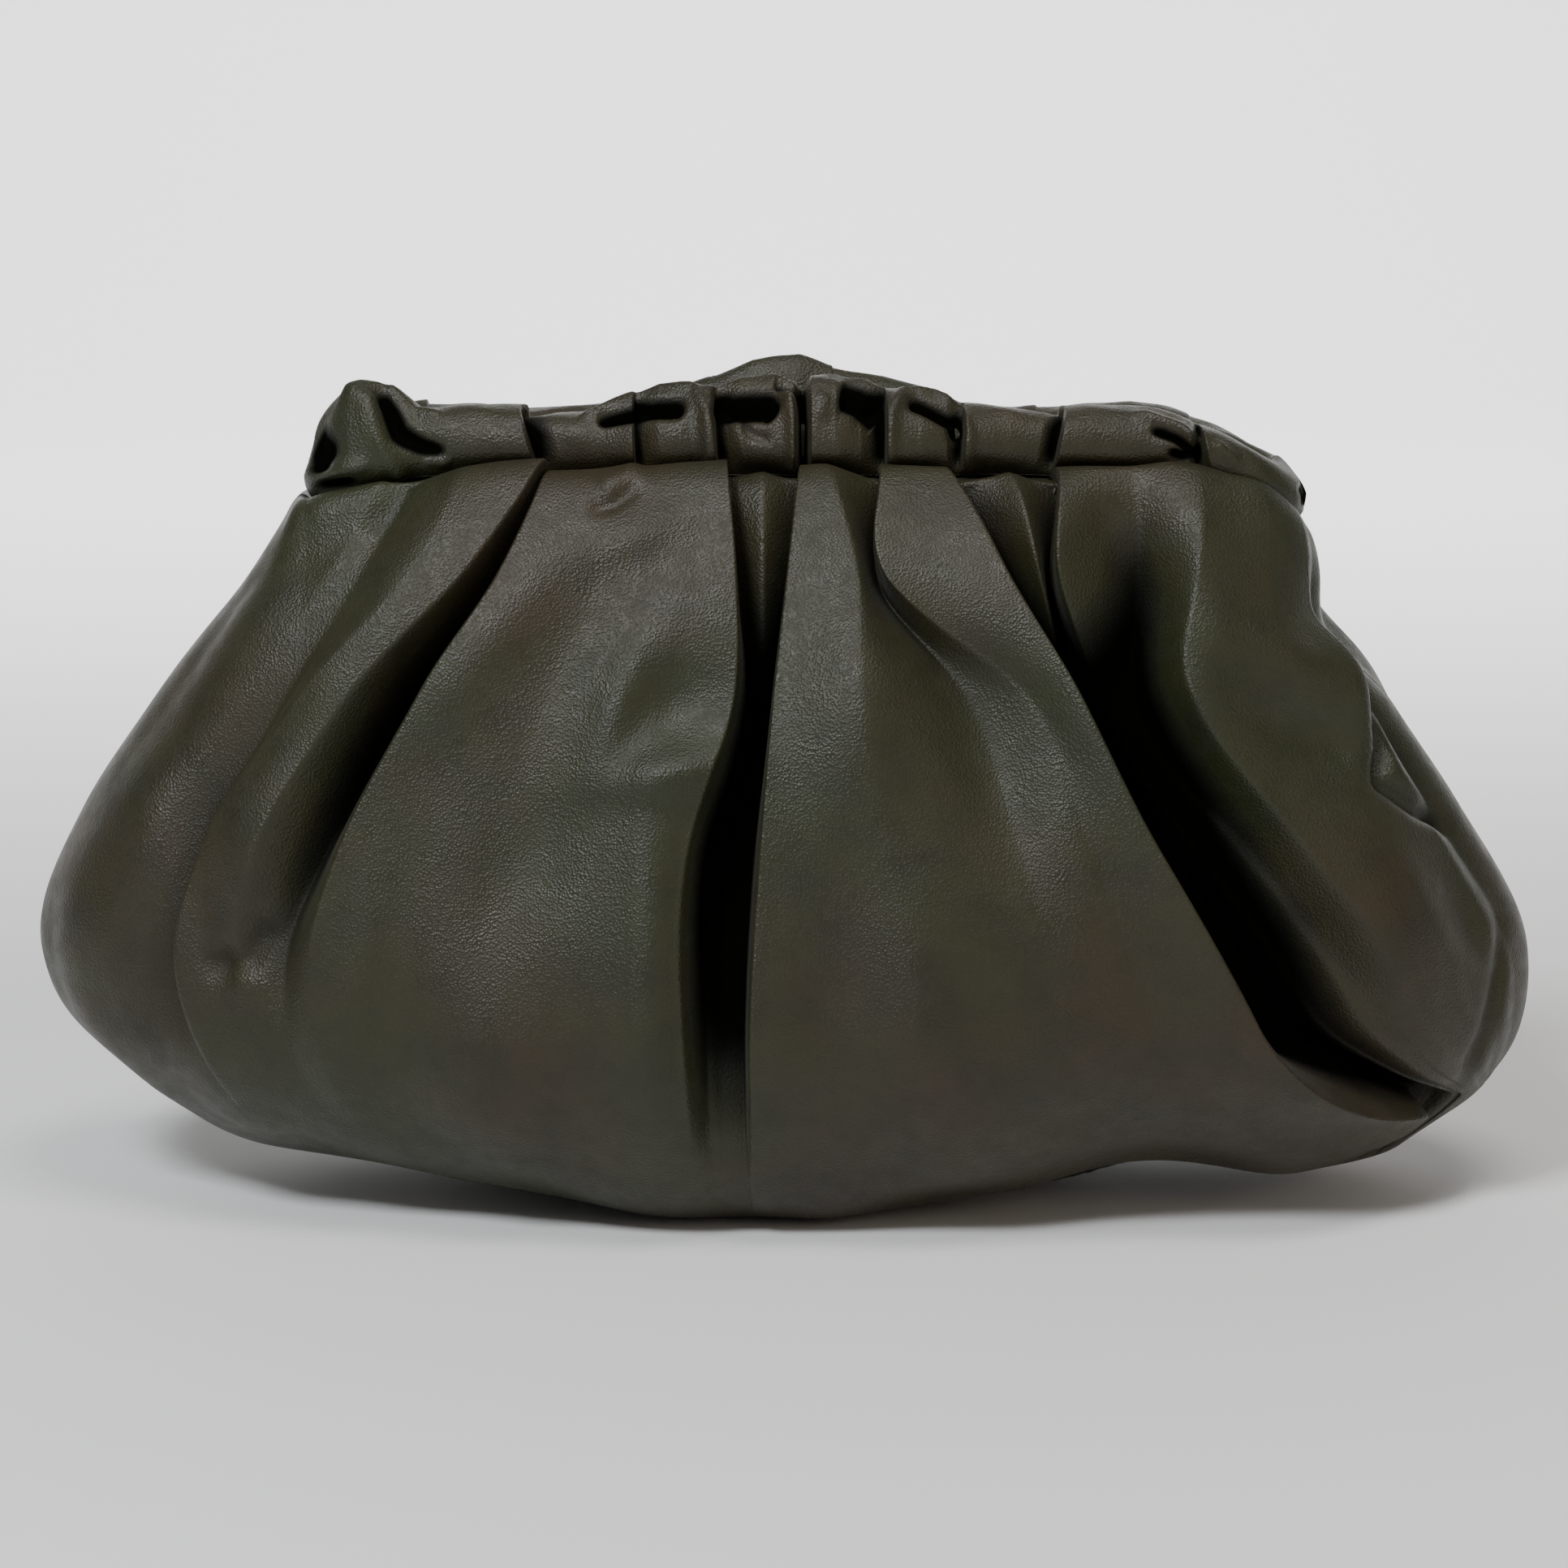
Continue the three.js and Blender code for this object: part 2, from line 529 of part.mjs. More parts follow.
// The hinge frame: one closed loop of bar, through the stations of both sleeves.
function frameGeometry() {
  const corners = [[1, -1], [1, 1], [-1, 1], [-1, -1]];
  const front = railStations(frontPleats).map(({ at }) => railPlace(at, 1));
  const back = railStations(backPleats).map(({ at }) => railPlace(at, -1));
  const loop = [...front, ...back.slice(1, -1).reverse()];
  const positions = [];
  const index = [];
  loop.forEach(({ point, out }, i) => {
    const next = (i + 1) % loop.length;
    corners.forEach(([reach, rise], k) => {
      const place = point.clone().addScaledVector(out, (reach * barWidth) / 2);
      positions.push(place.x, place.y, place.z + (rise * barHeight) / 2);
      const up = (k + 1) % corners.length;
      const [a, b, c, d] = [[i, k], [next, k], [next, up], [i, up]].map(([n, m]) => n * corners.length + m);
      index.push(a, b, c, a, c, d);
    });
  });
  return facingOut(positions, index);
}

function piece(name, geometry, material) {
  const mesh = new THREE.Mesh(geometry, material);
  mesh.name = name;
  return mesh;
}

const bag = new THREE.Group();
bag.add(
  piece("panel_front", panelGeometry(frontKnots, 1), leather),
  piece("panel_back", panelGeometry(backKnots, -1), leather),
  piece("sleeve_front", sleeveGeometry(frontPleats, 1), sleeveLeather),
  piece("sleeve_back", sleeveGeometry(backPleats, -1), sleeveLeather),
  piece("frame", frameGeometry(), coatedSteel),
);

export default bag;
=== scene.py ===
"""A gathered leather clutch on a hidden hinge frame, seen from the front and a little above.

Lengths in the tables and the shape functions are millimetres. Meshes are written in metres.
"""

import math

import bpy
import numpy as np
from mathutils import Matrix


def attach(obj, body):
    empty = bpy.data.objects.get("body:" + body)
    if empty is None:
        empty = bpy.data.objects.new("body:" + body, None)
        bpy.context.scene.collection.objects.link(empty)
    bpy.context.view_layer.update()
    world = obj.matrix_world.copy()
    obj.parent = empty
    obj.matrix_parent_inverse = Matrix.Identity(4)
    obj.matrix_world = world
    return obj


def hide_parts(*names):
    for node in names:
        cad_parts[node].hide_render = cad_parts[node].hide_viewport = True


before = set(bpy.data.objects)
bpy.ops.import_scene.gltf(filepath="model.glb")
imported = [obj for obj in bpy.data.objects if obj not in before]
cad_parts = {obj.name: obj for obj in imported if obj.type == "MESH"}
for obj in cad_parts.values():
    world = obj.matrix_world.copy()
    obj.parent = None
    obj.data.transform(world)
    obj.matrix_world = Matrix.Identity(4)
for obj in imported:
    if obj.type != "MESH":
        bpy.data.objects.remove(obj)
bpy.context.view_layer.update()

MM = 0.001

# Camera. The photograph is square. PIXEL_SIZE: one of its pixels at the bag's middle. PICTURE_MIDDLE: the
# height that the camera looks at.
PHOTO_SIDE = 1932
PIXEL_SIZE = 0.1683
PICTURE_MIDDLE = 84.0
CAMERA_TILT = math.radians(10)
CAMERA_DISTANCE = 950
NEAREST_SEEN = 50
SENSOR_WIDTH = 36

camera_data = bpy.data.cameras.new("camera")
camera_data.sensor_width = SENSOR_WIDTH
camera_data.lens = SENSOR_WIDTH * CAMERA_DISTANCE / (PHOTO_SIDE * PIXEL_SIZE)
camera_data.clip_start = NEAREST_SEEN * MM
camera = bpy.data.objects.new("camera", camera_data)
bpy.context.scene.collection.objects.link(camera)
camera.location = (
    0,
    -CAMERA_DISTANCE * math.cos(CAMERA_TILT) * MM,
    (PICTURE_MIDDLE + CAMERA_DISTANCE * math.sin(CAMERA_TILT)) * MM,
)
camera.rotation_euler = (math.pi / 2 - CAMERA_TILT, 0, 0)
bpy.context.scene.camera = camera

# Sizes of the bag. The driving ones are the same as the solids'.
HALF_LENGTH = 155
HALF_DEPTH = 60
SEAM_HEIGHT = 149.3
LEATHER_WALL = 2.0
FOLD_DEPTH = 16
FOLD_START, FOLD_FULL, FOLD_FADE, FOLD_END = 0.03, 0.06, 0.66, 0.82
SEAM_GAP = 0.4
FRAME_LEFT, FRAME_RIGHT = 92, 101
FRAME_END_RADIUS = 9
LEFT_DROP, RIGHT_DROP, DROP_RUN = 7, 11, 26
MOST_LEFT_DROP = 1.15
BEND_START, BEND_REACH = 0.05, 0.32
BAR_WIDTH, BAR_HEIGHT = 5, 7.6
SLEEVE_HALF_WIDTH, SLEEVE_HALF_HEIGHT = 6, 7.7
SLEEVE_OPENING = math.radians(50)
SLEEVE_FOOT = SLEEVE_HALF_HEIGHT * math.sin(SLEEVE_OPENING)
SLEEVE_GAP = 0.3
RAIL_HEIGHT = SEAM_HEIGHT + SLEEVE_GAP + SLEEVE_FOOT

# Horizontal sections of a panel, close to the solids' own: shares of the run, the seam's height, the half
# length to either side and the half depth. corner: how square the section is, 2 for an ellipse.
SECTION_COLUMNS = ("down", "height", "left", "right", "depth", "corner")
PANEL_SECTIONS = np.array([
    (0.000, 1.000, 0.590, 0.648, 0.125, 6.0),
    (0.030, 0.999, 0.618, 0.675, 0.230, 5.5),
    (0.055, 1.009, 0.640, 0.694, 0.310, 4.6),
    (0.090, 0.978, 0.660, 0.706, 0.400, 4.0),
    (0.185, 0.857, 0.732, 0.718, 0.567, 3.0),
    (0.300, 0.697, 0.832, 0.800, 0.758, 2.5),
    (0.415, 0.536, 0.935, 0.903, 0.900, 2.3),
    (0.530, 0.368, 0.997, 0.992, 0.990, 2.2),
    (0.635, 0.214, 0.950, 0.990, 1.000, 2.3),
    (0.730, 0.080, 0.866, 0.945, 0.860, 2.3),
    (0.800, 0.010, 0.765, 0.860, 0.660, 2.2),
    (0.840, 0.000, 0.707, 0.813, 0.530, 2.2),
    (1.000, 0.000, 0.684, 0.800, 0.000, 2.2),
])

# How high the foot's edge stands off the ground along the bag. It lifts from the middle line out over
# FOOT_LIFT_DEPTH and toward the ends over FOOT_LIFT_ENDS, and is gone at the height FOOT_LIFT_TOP.
FOOT_LIFT = np.array([
    (-155, 19.0), (-123, 14.0), (-105, 11.0), (-77, 9.0), (-50, 5.0), (-17, 1.0),
    (22, 2.5), (45, 6.0), (72, 11.5), (104, 7.0), (125, 8.0), (138, 12.0), (155, 16.0),
])
FOOT_LIFT_DEPTH = (6, 24)
FOOT_LIFT_ENDS = (38, 92)
FOOT_LIFT_TOP = 45

# Rolls of leather that stand up before the sleeve's ends: how much higher the top is along the bag, and the
# shares of the run over which they start and end.
TOP_ROLLS = np.array([
    (-155, 0.0), (-104, 2.5), (-97, 3.0), (-88, 1.2), (-78, 0.0), (0, 0.0),
    (80, 0.0), (88, 1.6), (96, 4.6), (103, 5.2), (110, 3.0), (155, 0.0),
])
TOP_ROLL_START = (0.01, 0.045)
TOP_ROLL_END = (0.07, 0.20)

# Levels of the front panel's folds, as shares of the leather's run.
FOLD_LEVELS = (0.055, 0.17, 0.275, 0.415, 0.575, 0.645, 0.715)

# Fold lines of the front panel from left to right. across: share of the half-width at each level. rise: share
# of FOLD_DEPTH. round: how broad the crest or the hollow is, as a share of the half-width. steps: columns up
# to the next line.
FRONT_FOLDS = [
    dict(name="tucked_roll", round=0.05, steps=16,
         across=(-0.825, -0.84, -0.86, -0.88, -0.89, -0.895, -0.9),
         rise=(0.1, 0.05, 0.02, 0.05, 0.05, 0.025, 0)),
    dict(name="roll_hollow", round=0.05, steps=16,
         across=(-0.76, -0.77, -0.79, -0.81, -0.8, -0.8, -0.8),
         rise=(-0.06, -0.03, -0.02, -0.1, -0.1, -0.05, 0)),
    dict(name="a_face", round=0.05, steps=20,
         across=(-0.64, -0.66, -0.745, -0.79, -0.78, -0.78, -0.78),
         rise=(0.1, 0.13, 0.15, 0.12, 0.03, 0.015, 0)),
    dict(name="a_lip", round=0.045, steps=18,
         across=(-0.486, -0.572, -0.672, -0.715, -0.71, -0.71, -0.71),
         rise=(0.19, 0.17, 0.16, 0.12, 0.02, 0.01, 0)),
    dict(name="ab_hollow", round=0.035, steps=18,
         across=(-0.481, -0.529, -0.602, -0.638, -0.65, -0.655, -0.66),
         rise=(-0.14, -0.46, -0.7, -0.52, -0.08, -0.04, 0)),
    dict(name="b_left_crest", round=0.035, steps=22,
         across=(-0.474, -0.503, -0.56, -0.596, -0.605, -0.607, -0.61),
         rise=(0.02, 0.18, 0.26, 0.22, 0.05, 0.025, 0)),
    dict(name="b_middle", round=0.1, steps=22,
         across=(-0.352, -0.331, -0.37, -0.4, -0.38, -0.385, -0.39),
         rise=(0.06, 0.06, 0.02, 0.06, 0.1, 0.065, 0.03)),
    dict(name="b_crest", round=0.07, steps=18,
         across=(-0.181, -0.17, -0.2, -0.2, -0.19, -0.18, -0.17),
         rise=(0.14, 0.2, 0.2, 0.24, 0.2, 0.13, 0.06)),
    dict(name="b_right_lip", round=0.03, steps=14,
         across=(-0.118, -0.087, -0.079, -0.132, -0.132, -0.132, -0.132),
         rise=(0.17, 0.22, 0.08, 0.02, 0.02, 0.025, 0.03)),
    dict(name="bc_hollow", round=0.025, steps=12,
         across=(-0.121, -0.082, -0.055, -0.098, -0.101, -0.101, -0.1),
         rise=(-0.14, -0.44, -0.8, -0.86, -0.6, -0.33, -0.06)),
    dict(name="c_crest", round=0.03, steps=12,
         across=(-0.043, -0.038, -0.036, -0.072, -0.079, -0.08, -0.08),
         rise=(0, -0.2, -0.92, -0.98, -0.66, -0.365, -0.07)),
    dict(name="cd_hollow", round=0.02, steps=14,
         across=(0.028, 0.006, -0.02, -0.047, -0.054, -0.055, -0.056),
         rise=(-0.16, -0.5, -1.0, -1.0, -0.66, -0.365, -0.07)),
    dict(name="d_left_crest", round=0.03, steps=20,
         across=(0.032, 0.008, -0.014, -0.03, -0.0415, -0.042, -0.043),
         rise=(0.13, 0.2, 0.2, 0.2, 0.16, 0.095, 0.03)),
    dict(name="d_crest", round=0.06, steps=20,
         across=(0.075, 0.13, 0.125, 0.145, 0.17, 0.185, 0.2),
         rise=(0.15, 0.26, 0.36, 0.32, 0.22, 0.14, 0.06)),
    dict(name="de_hollow", round=0.04, steps=16,
         across=(0.182, 0.174, 0.3, 0.33, 0.34, 0.35, 0.36),
         rise=(-0.14, -0.34, 0.04, 0.12, 0.14, 0.1, 0.06)),
    dict(name="e_left_lip", round=0.04, steps=20,
         across=(0.181, 0.182, 0.39, 0.42, 0.46, 0.54, 0.66),
         rise=(0.15, 0.22, 0.2, 0.24, 0.2, 0.14, 0.06)),
    dict(name="e_right_crest", round=0.045, steps=20,
         across=(0.3, 0.396, 0.466, 0.508, 0.585, 0.685, 0.875),
         rise=(0.16, 0.32, 0.46, 0.52, 0.48, 0.44, 0.3)),
    dict(name="ef_hollow", round=0.03, steps=12,
         across=(0.325, 0.413, 0.484, 0.53, 0.61, 0.712, 0.888),
         rise=(-0.16, -0.5, -1.1, -1.25, -1.1, -0.9, -0.4)),
    dict(name="f_crest", round=0.03, steps=12,
         across=(0.42, 0.462, 0.502, 0.552, 0.634, 0.74, 0.902),
         rise=(0.08, 0, -1.18, -1.32, -1.15, -0.95, -0.44)),
    dict(name="fg_hollow", round=0.03, steps=12,
         across=(0.51, 0.488, 0.534, 0.586, 0.668, 0.772, 0.917),
         rise=(-0.18, -0.6, -1.18, -1.28, -1.08, -0.85, -0.36)),
    dict(name="g_left_lip", round=0.035, steps=14,
         across=(0.511, 0.494, 0.556, 0.616, 0.7, 0.802, 0.93),
         rise=(0.14, 0.14, -0.84, -0.92, -0.5, -0.2, 0.05)),
    dict(name="g_hollow", round=0.045, steps=16,
         across=(0.64, 0.65, 0.604, 0.662, 0.745, 0.84, 0.942),
         rise=(0.12, -0.5, -0.8, -0.5, -0.04, 0.1, 0.12)),
    dict(name="g_crest", round=0.05, steps=16,
         across=(0.77, 0.735, 0.655, 0.722, 0.8, 0.87, 0.952),
         rise=(0.15, 0.24, 0.3, 0.26, 0.24, 0.2, 0.12)),
    dict(name="g_face", round=0.04, steps=16,
         across=(0.89, 0.86, 0.83, 0.83, 0.87, 0.91, 0.965),
         rise=(0.1, 0.26, 0.28, 0.24, 0.19, 0.14, 0.08)),
    dict(name="side_crest", round=0.03, steps=12,
         across=(0.955, 0.945, 0.935, 0.93, 0.94, 0.95, 0.975),
         rise=(0.03, 0.14, 0.22, 0.12, 0.09, 0.06, 0.03)),
    dict(name="side_hollow", round=0.015, steps=12,
         across=(0.985, 0.98, 0.975, 0.97, 0.97, 0.975, 0.985),
         rise=(0, -0.1, -0.16, -0.1, 0, 0, 0)),
]

# Pleats of the back panel, as in the solids. top, foot: where the crest lies across. reach: the share of the
# run where it ends. hollow: how far its hollow lies to the side.
BACK_FOLDS = [
    dict(name="pleat_1", top=-0.80, foot=-0.86, rise=0.30, reach=0.62, hollow=0.055),
    dict(name="pleat_2", top=-0.56, foot=-0.64, rise=0.75, reach=0.74, hollow=0.050),
    dict(name="pleat_3", top=-0.36, foot=-0.40, rise=0.40, reach=0.52, hollow=0.045),
    dict(name="pleat_4", top=-0.17, foot=-0.16, rise=0.95, reach=0.78, hollow=0.045),
    dict(name="pleat_5", top=0.06, foot=0.10, rise=0.45, reach=0.56, hollow=-0.045),
    dict(name="pleat_6", top=0.26, foot=0.34, rise=0.90, reach=0.80, hollow=-0.050),
    dict(name="pleat_7", top=0.50, foot=0.60, rise=0.55, reach=0.64, hollow=-0.050),
    dict(name="pleat_8", top=0.76, foot=0.82, rise=0.60, reach=0.70, hollow=-0.055),
]

# What all back pleats have in common. full, fade: where they are at their highest and start to fade. least:
# how high they still are at the ends. crest: the share of the height that stands out. bow, wave, shift: how
# far and how often they sway.
PLAIN_PLEAT = dict(
    full=0.2, fade=0.6, least=0.16, crest=0.4, hollow=0.45, bow=0.014, wave=7, shift=9, round=0.06, steps=22,
)

# Dents and swellings of the front panel, at places seen from the front. turn: degrees that the long side is
# turned anticlockwise. long, wide: half sizes.
FRONT_DENTS = [
    dict(x=-21, z=107, long=11, wide=8, turn=20, rise=-3.4),
    dict(x=-33, z=106, long=14, wide=4.5, turn=66, rise=2.0),
    dict(x=-22, z=94, long=14, wide=4.5, turn=8, rise=2.0),
    dict(x=14, z=103, long=24, wide=11, turn=78, rise=3.0),
    dict(x=40, z=98, long=26, wide=8, turn=112, rise=-2.4),
    dict(x=-48, z=80, long=22, wide=9, turn=58, rise=-2.2),
    dict(x=-84, z=55, long=24, wide=6, turn=80, rise=2.0),
    dict(x=-24, z=60, long=26, wide=6, turn=88, rise=2.0),
    dict(x=-58, z=118, long=22, wide=6, turn=50, rise=1.4),
    dict(x=60, z=28, long=16, wide=7, turn=20, rise=-1.4),
    dict(x=10, z=45, long=30, wide=10, turn=84, rise=-1.4),
    dict(x=-30, z=138, long=10, wide=4, turn=20, rise=1.2),
    dict(x=-92, z=137, long=24, wide=6, turn=28, rise=-2.4),
    dict(x=-84, z=118, long=28, wide=8, turn=52, rise=2.6),
    dict(x=-107, z=97, long=22, wide=6, turn=42, rise=-2.0),
    dict(x=-116, z=67, long=18, wide=6, turn=96, rise=-2.2),
    dict(x=-104, z=76, long=14, wide=9, turn=60, rise=2.2),
    dict(x=-136, z=40, long=14, wide=8, turn=-50, rise=-1.6),
    dict(x=76, z=142, long=18, wide=7, turn=60, rise=2.2),
    dict(x=101, z=112, long=17, wide=4.5, turn=-24, rise=1.9),
    dict(x=106, z=98, long=16, wide=5, turn=-20, rise=-2.2),
    dict(x=118, z=64, long=22, wide=10, turn=-50, rise=2.2),
    dict(x=138, z=60, long=14, wide=4, turn=-60, rise=-1.6),
]

# Swellings of the back panel. The first two show past the front panel's sides.
BACK_DENTS = [
    dict(x=117, z=106, long=24, wide=8, turn=-62, rise=4.0),
    dict(x=-117, z=104, long=26, wide=8, turn=58, rise=2.0),
    dict(x=-20, z=120, long=24, wide=9, turn=60, rise=1.6),
    dict(x=85, z=60, long=30, wide=12, turn=110, rise=2.0),
    dict(x=30, z=100, long=40, wide=14, turn=75, rise=2.0),
    dict(x=-70, z=70, long=30, wide=16, turn=100, rise=2.0),
]

# Creases and ridges of the front panel along paths of (x, z) places seen from the front. wide: half width.
# taper: the share of the path over which it comes and goes, PATH_TAPER where none is given. PATH_MARGIN: how
# far past the path's ends, as a share of it, the coming and going start and end.
FRONT_PATHS = [
    dict(path=((-40, 142.5), (-34, 144), (-28, 148)), wide=1.2, rise=-1.1),
    dict(path=((-38, 146.5), (-31, 149.5), (-27.5, 151)), wide=2.2, rise=1.2),
    dict(path=((-102, 68), (-107, 57), (-118, 54)), wide=3.4, rise=-2.2),
    dict(path=((-95, 76), (-99, 60), (-112, 47)), wide=6.0, rise=1.0),
    dict(path=((109, 125), (116.5, 108), (120, 95), (119, 89), (128, 83), (139, 78)),
         wide=1.7, rise=-3.6, taper=0.12),
    dict(path=((105, 124), (112, 108), (115.5, 96), (113, 88)), wide=3.2, rise=2.0),
    dict(path=((84, 92), (92, 79), (106, 64)), wide=4.5, rise=1.8),
    dict(path=((147, 64), (146, 50), (142, 38), (134, 24)), wide=2.0, rise=-1.8),
    dict(path=((79, 150), (83, 128), (82, 110), (88, 92)), wide=5.0, rise=0.8),
    dict(path=((62, 149), (68, 134), (78, 126)), wide=4.0, rise=-0.9),
]
PATH_TAPER = 0.3
PATH_MARGIN = 0.01

# Soft noise on the leather: how long its waves are across and down the folds, and how high. It grows and
# fades over these shares of the run. NOISE_WAVES: how many waves make up one layer. NOISE_STRETCH: how many
# times longer they are than the table says.
WRINKLE_LAYERS = [
    dict(across=52, down=95, rise=0.75, seed=3),
    dict(across=24, down=52, rise=0.28, seed=5),
]
WRINKLE_START = (0.02, 0.08)
WRINKLE_END = (0.78, 0.84)
NOISE_WAVES = 28
NOISE_STRETCH = 1.7

# Grids of the panels. The heights fade out over SEAM_FADE of the half-width before the side seams. SEAM_ROUND
# and SEAM_STEPS: how broad the leather's bend at a seam is and how many columns it has. NORMAL_STEP: the step
# in angle and in run over which a normal is measured.
PANEL_ROWS = 199
INNER_STRIDE = 3
SEAM_FADE = 0.03
SEAM_ROUND = 0.012
SEAM_STEPS = 24
NORMAL_STEP = 0.004


def smoothstep(value, low, high):
    share = np.clip((value - low) / (high - low), 0, 1)
    return share * share * (3 - 2 * share)


def hermite(start, end, start_slope, end_slope, share):
    square = share * share
    cube = square * share
    return (
        start * (2 * cube - 3 * square + 1)
        + end * (3 * square - 2 * cube)
        + start_slope * (cube - 2 * square + share)
        + end_slope * (cube - square)
    )


def curve_through(places, values, at):
    """The smooth curves through a table's values at their places, one column each."""
    places = np.asarray(places, float)
    values = np.asarray(values, float)
    last = len(places) - 1
    at = np.clip(at, places[0], places[last])
    i = np.clip(np.searchsorted(places, at, side="right") - 1, 0, last - 1)
    before = np.clip(np.arange(last + 1) - 1, 0, last)
    after = np.clip(np.arange(last + 1) + 1, 0, last)
    slope = (values[after] - values[before]) / (places[after] - places[before])[:, None]
    run = (places[i + 1] - places[i])[:, None]
    share = (at - places[i])[:, None] / run
    return hermite(values[i], values[i + 1], slope[i] * run, slope[i + 1] * run, share)


def soft_noise(points, waves, seed):
    """A smooth random field of unit height, with its own wave length along each axis."""
    source = np.random.default_rng(seed)
    total = np.zeros(points.shape[:-1])
    for _ in range(NOISE_WAVES):
        direction = source.normal(size=3) / np.asarray(waves)
        phase = source.uniform(0, 2 * math.pi)
        total += np.cos(points @ direction * 2 * math.pi / NOISE_STRETCH + phase)
    return total * math.sqrt(2 / NOISE_WAVES)


def end_drop(x):
    """How far the rail and the mouth bend down toward the frame's ends."""
    left = np.clip((-x - (FRAME_LEFT - DROP_RUN)) / DROP_RUN, 0, MOST_LEFT_DROP)
    right = np.maximum(0, (x - (FRAME_RIGHT - DROP_RUN)) / DROP_RUN)
    return LEFT_DROP * left**2 + RIGHT_DROP * right**2


def lookup(table, x):
    """The smooth curve through a table of (place, value) rows."""
    return curve_through(table[:, 0], table[:, 1:], x.ravel())[:, 0].reshape(x.shape)


def foot_lift(x, y):
    """How high the base stands off the ground at these places."""
    away_from_middle = smoothstep(np.abs(y), *FOOT_LIFT_DEPTH)
    toward_ends = smoothstep(np.abs(x), *FOOT_LIFT_ENDS)
    return lookup(FOOT_LIFT, x) * np.maximum(away_from_middle, toward_ends)


def section_at(down):
    """The sections' values at these shares of the run, each as a column."""
    table = curve_through(PANEL_SECTIONS[:, 0], PANEL_SECTIONS[:, 1:], down)
    return {name: table[:, i][:, None] for i, name in enumerate(SECTION_COLUMNS[1:])}


def angle_at(share, corner):
    """The angle round a section at which its half length reaches this share."""
    return np.arccos(np.sign(share) * np.minimum(1, np.abs(share)) ** (corner / 2))


def plain_points(angle, down, side):
    """The plain panel without folds. angle has one row for each share of the run in down."""
    section = section_at(down)
    power = 2 / section["corner"]
    cosine = np.cos(angle)
    reach = np.where(cosine < 0, section["left"], section["right"]) * HALF_LENGTH
    x = np.sign(cosine) * np.abs(cosine) ** power * reach
    y = -side * section["depth"] * HALF_DEPTH * np.abs(np.sin(angle)) ** power
    bend = end_drop(x) * (1 - smoothstep(down[:, None], BEND_START, BEND_REACH))
    z = np.maximum(0, section["height"] * SEAM_HEIGHT) - bend
    z += foot_lift(x, y) * (1 - smoothstep(z, 0, FOOT_LIFT_TOP))
    roll = smoothstep(down, *TOP_ROLL_START) * (1 - smoothstep(down, *TOP_ROLL_END))
    z += lookup(TOP_ROLLS, x) * roll[:, None]
    return np.stack([x, y, z], axis=-1)


def plain_normals(angle, down, side):
    angle = np.clip(angle, NORMAL_STEP, math.pi - NORMAL_STEP)
    down = np.clip(down, NORMAL_STEP, 1 - NORMAL_STEP)
    across = plain_points(angle - NORMAL_STEP, down, side) - plain_points(angle + NORMAL_STEP, down, side)
    along = plain_points(angle, down + NORMAL_STEP, side) - plain_points(angle, down - NORMAL_STEP, side)
    normal = np.cross(along, across) * side
    return normal / np.linalg.norm(normal, axis=-1, keepdims=True)


def fold_strength(down):
    """How much of the folds' height shows at these shares of the run."""
    return smoothstep(down, FOLD_START, FOLD_FULL) * (1 - smoothstep(down, FOLD_FADE, FOLD_END))


def front_knots(down):
    """Where the front panel's fold lines lie and how high, one row for each share of the run."""
    across = curve_through(FOLD_LEVELS, np.array([fold["across"] for fold in FRONT_FOLDS]).T, down)
    rise = curve_through(FOLD_LEVELS, np.array([fold["rise"] for fold in FRONT_FOLDS]).T, down)
    rise *= FOLD_DEPTH * fold_strength(down)[:, None]
    rounds = np.array([fold["round"] for fold in FRONT_FOLDS])
    steps = [fold["steps"] for fold in FRONT_FOLDS]
    return across, rise, rounds, steps


def back_knots(down):
    """The same for the back panel: a crest and a hollow for each pleat."""
    across, rise = [], []
    for fold in BACK_FOLDS:
        fullness = smoothstep(down, 0, PLAIN_PLEAT["full"])
        fullness = fullness * (1 - smoothstep(down, PLAIN_PLEAT["fade"] * fold["reach"], fold["reach"]))
        share = PLAIN_PLEAT["least"] + (1 - PLAIN_PLEAT["least"]) * fullness
        crest = fold["top"] + (fold["foot"] - fold["top"]) * smoothstep(down, 0, PLAIN_PLEAT["fade"])
        sway = np.sin(PLAIN_PLEAT["wave"] * down + PLAIN_PLEAT["shift"] * fold["top"])
        crest = crest + PLAIN_PLEAT["bow"] * sway * fullness
        height = fold["rise"] * FOLD_DEPTH * share * fold_strength(down)
        pair = [
            (crest, PLAIN_PLEAT["crest"] * height),
            (crest + fold["hollow"] * (PLAIN_PLEAT["hollow"] * share), (PLAIN_PLEAT["crest"] - 1) * height),
        ]
        if fold["hollow"] < 0:
            pair.reverse()
        across += [line for line, _ in pair]
        rise += [height for _, height in pair]
    rounds = np.full(len(across), PLAIN_PLEAT["round"])
    steps = [PLAIN_PLEAT["steps"]] * len(across)
    return np.stack(across, 1), np.stack(rise, 1), rounds, steps


def away_from_seams(place):
    """0 on the side seams, 1 on the rest of the panel."""
    return smoothstep(1 - np.abs(place), 0.0, SEAM_FADE)


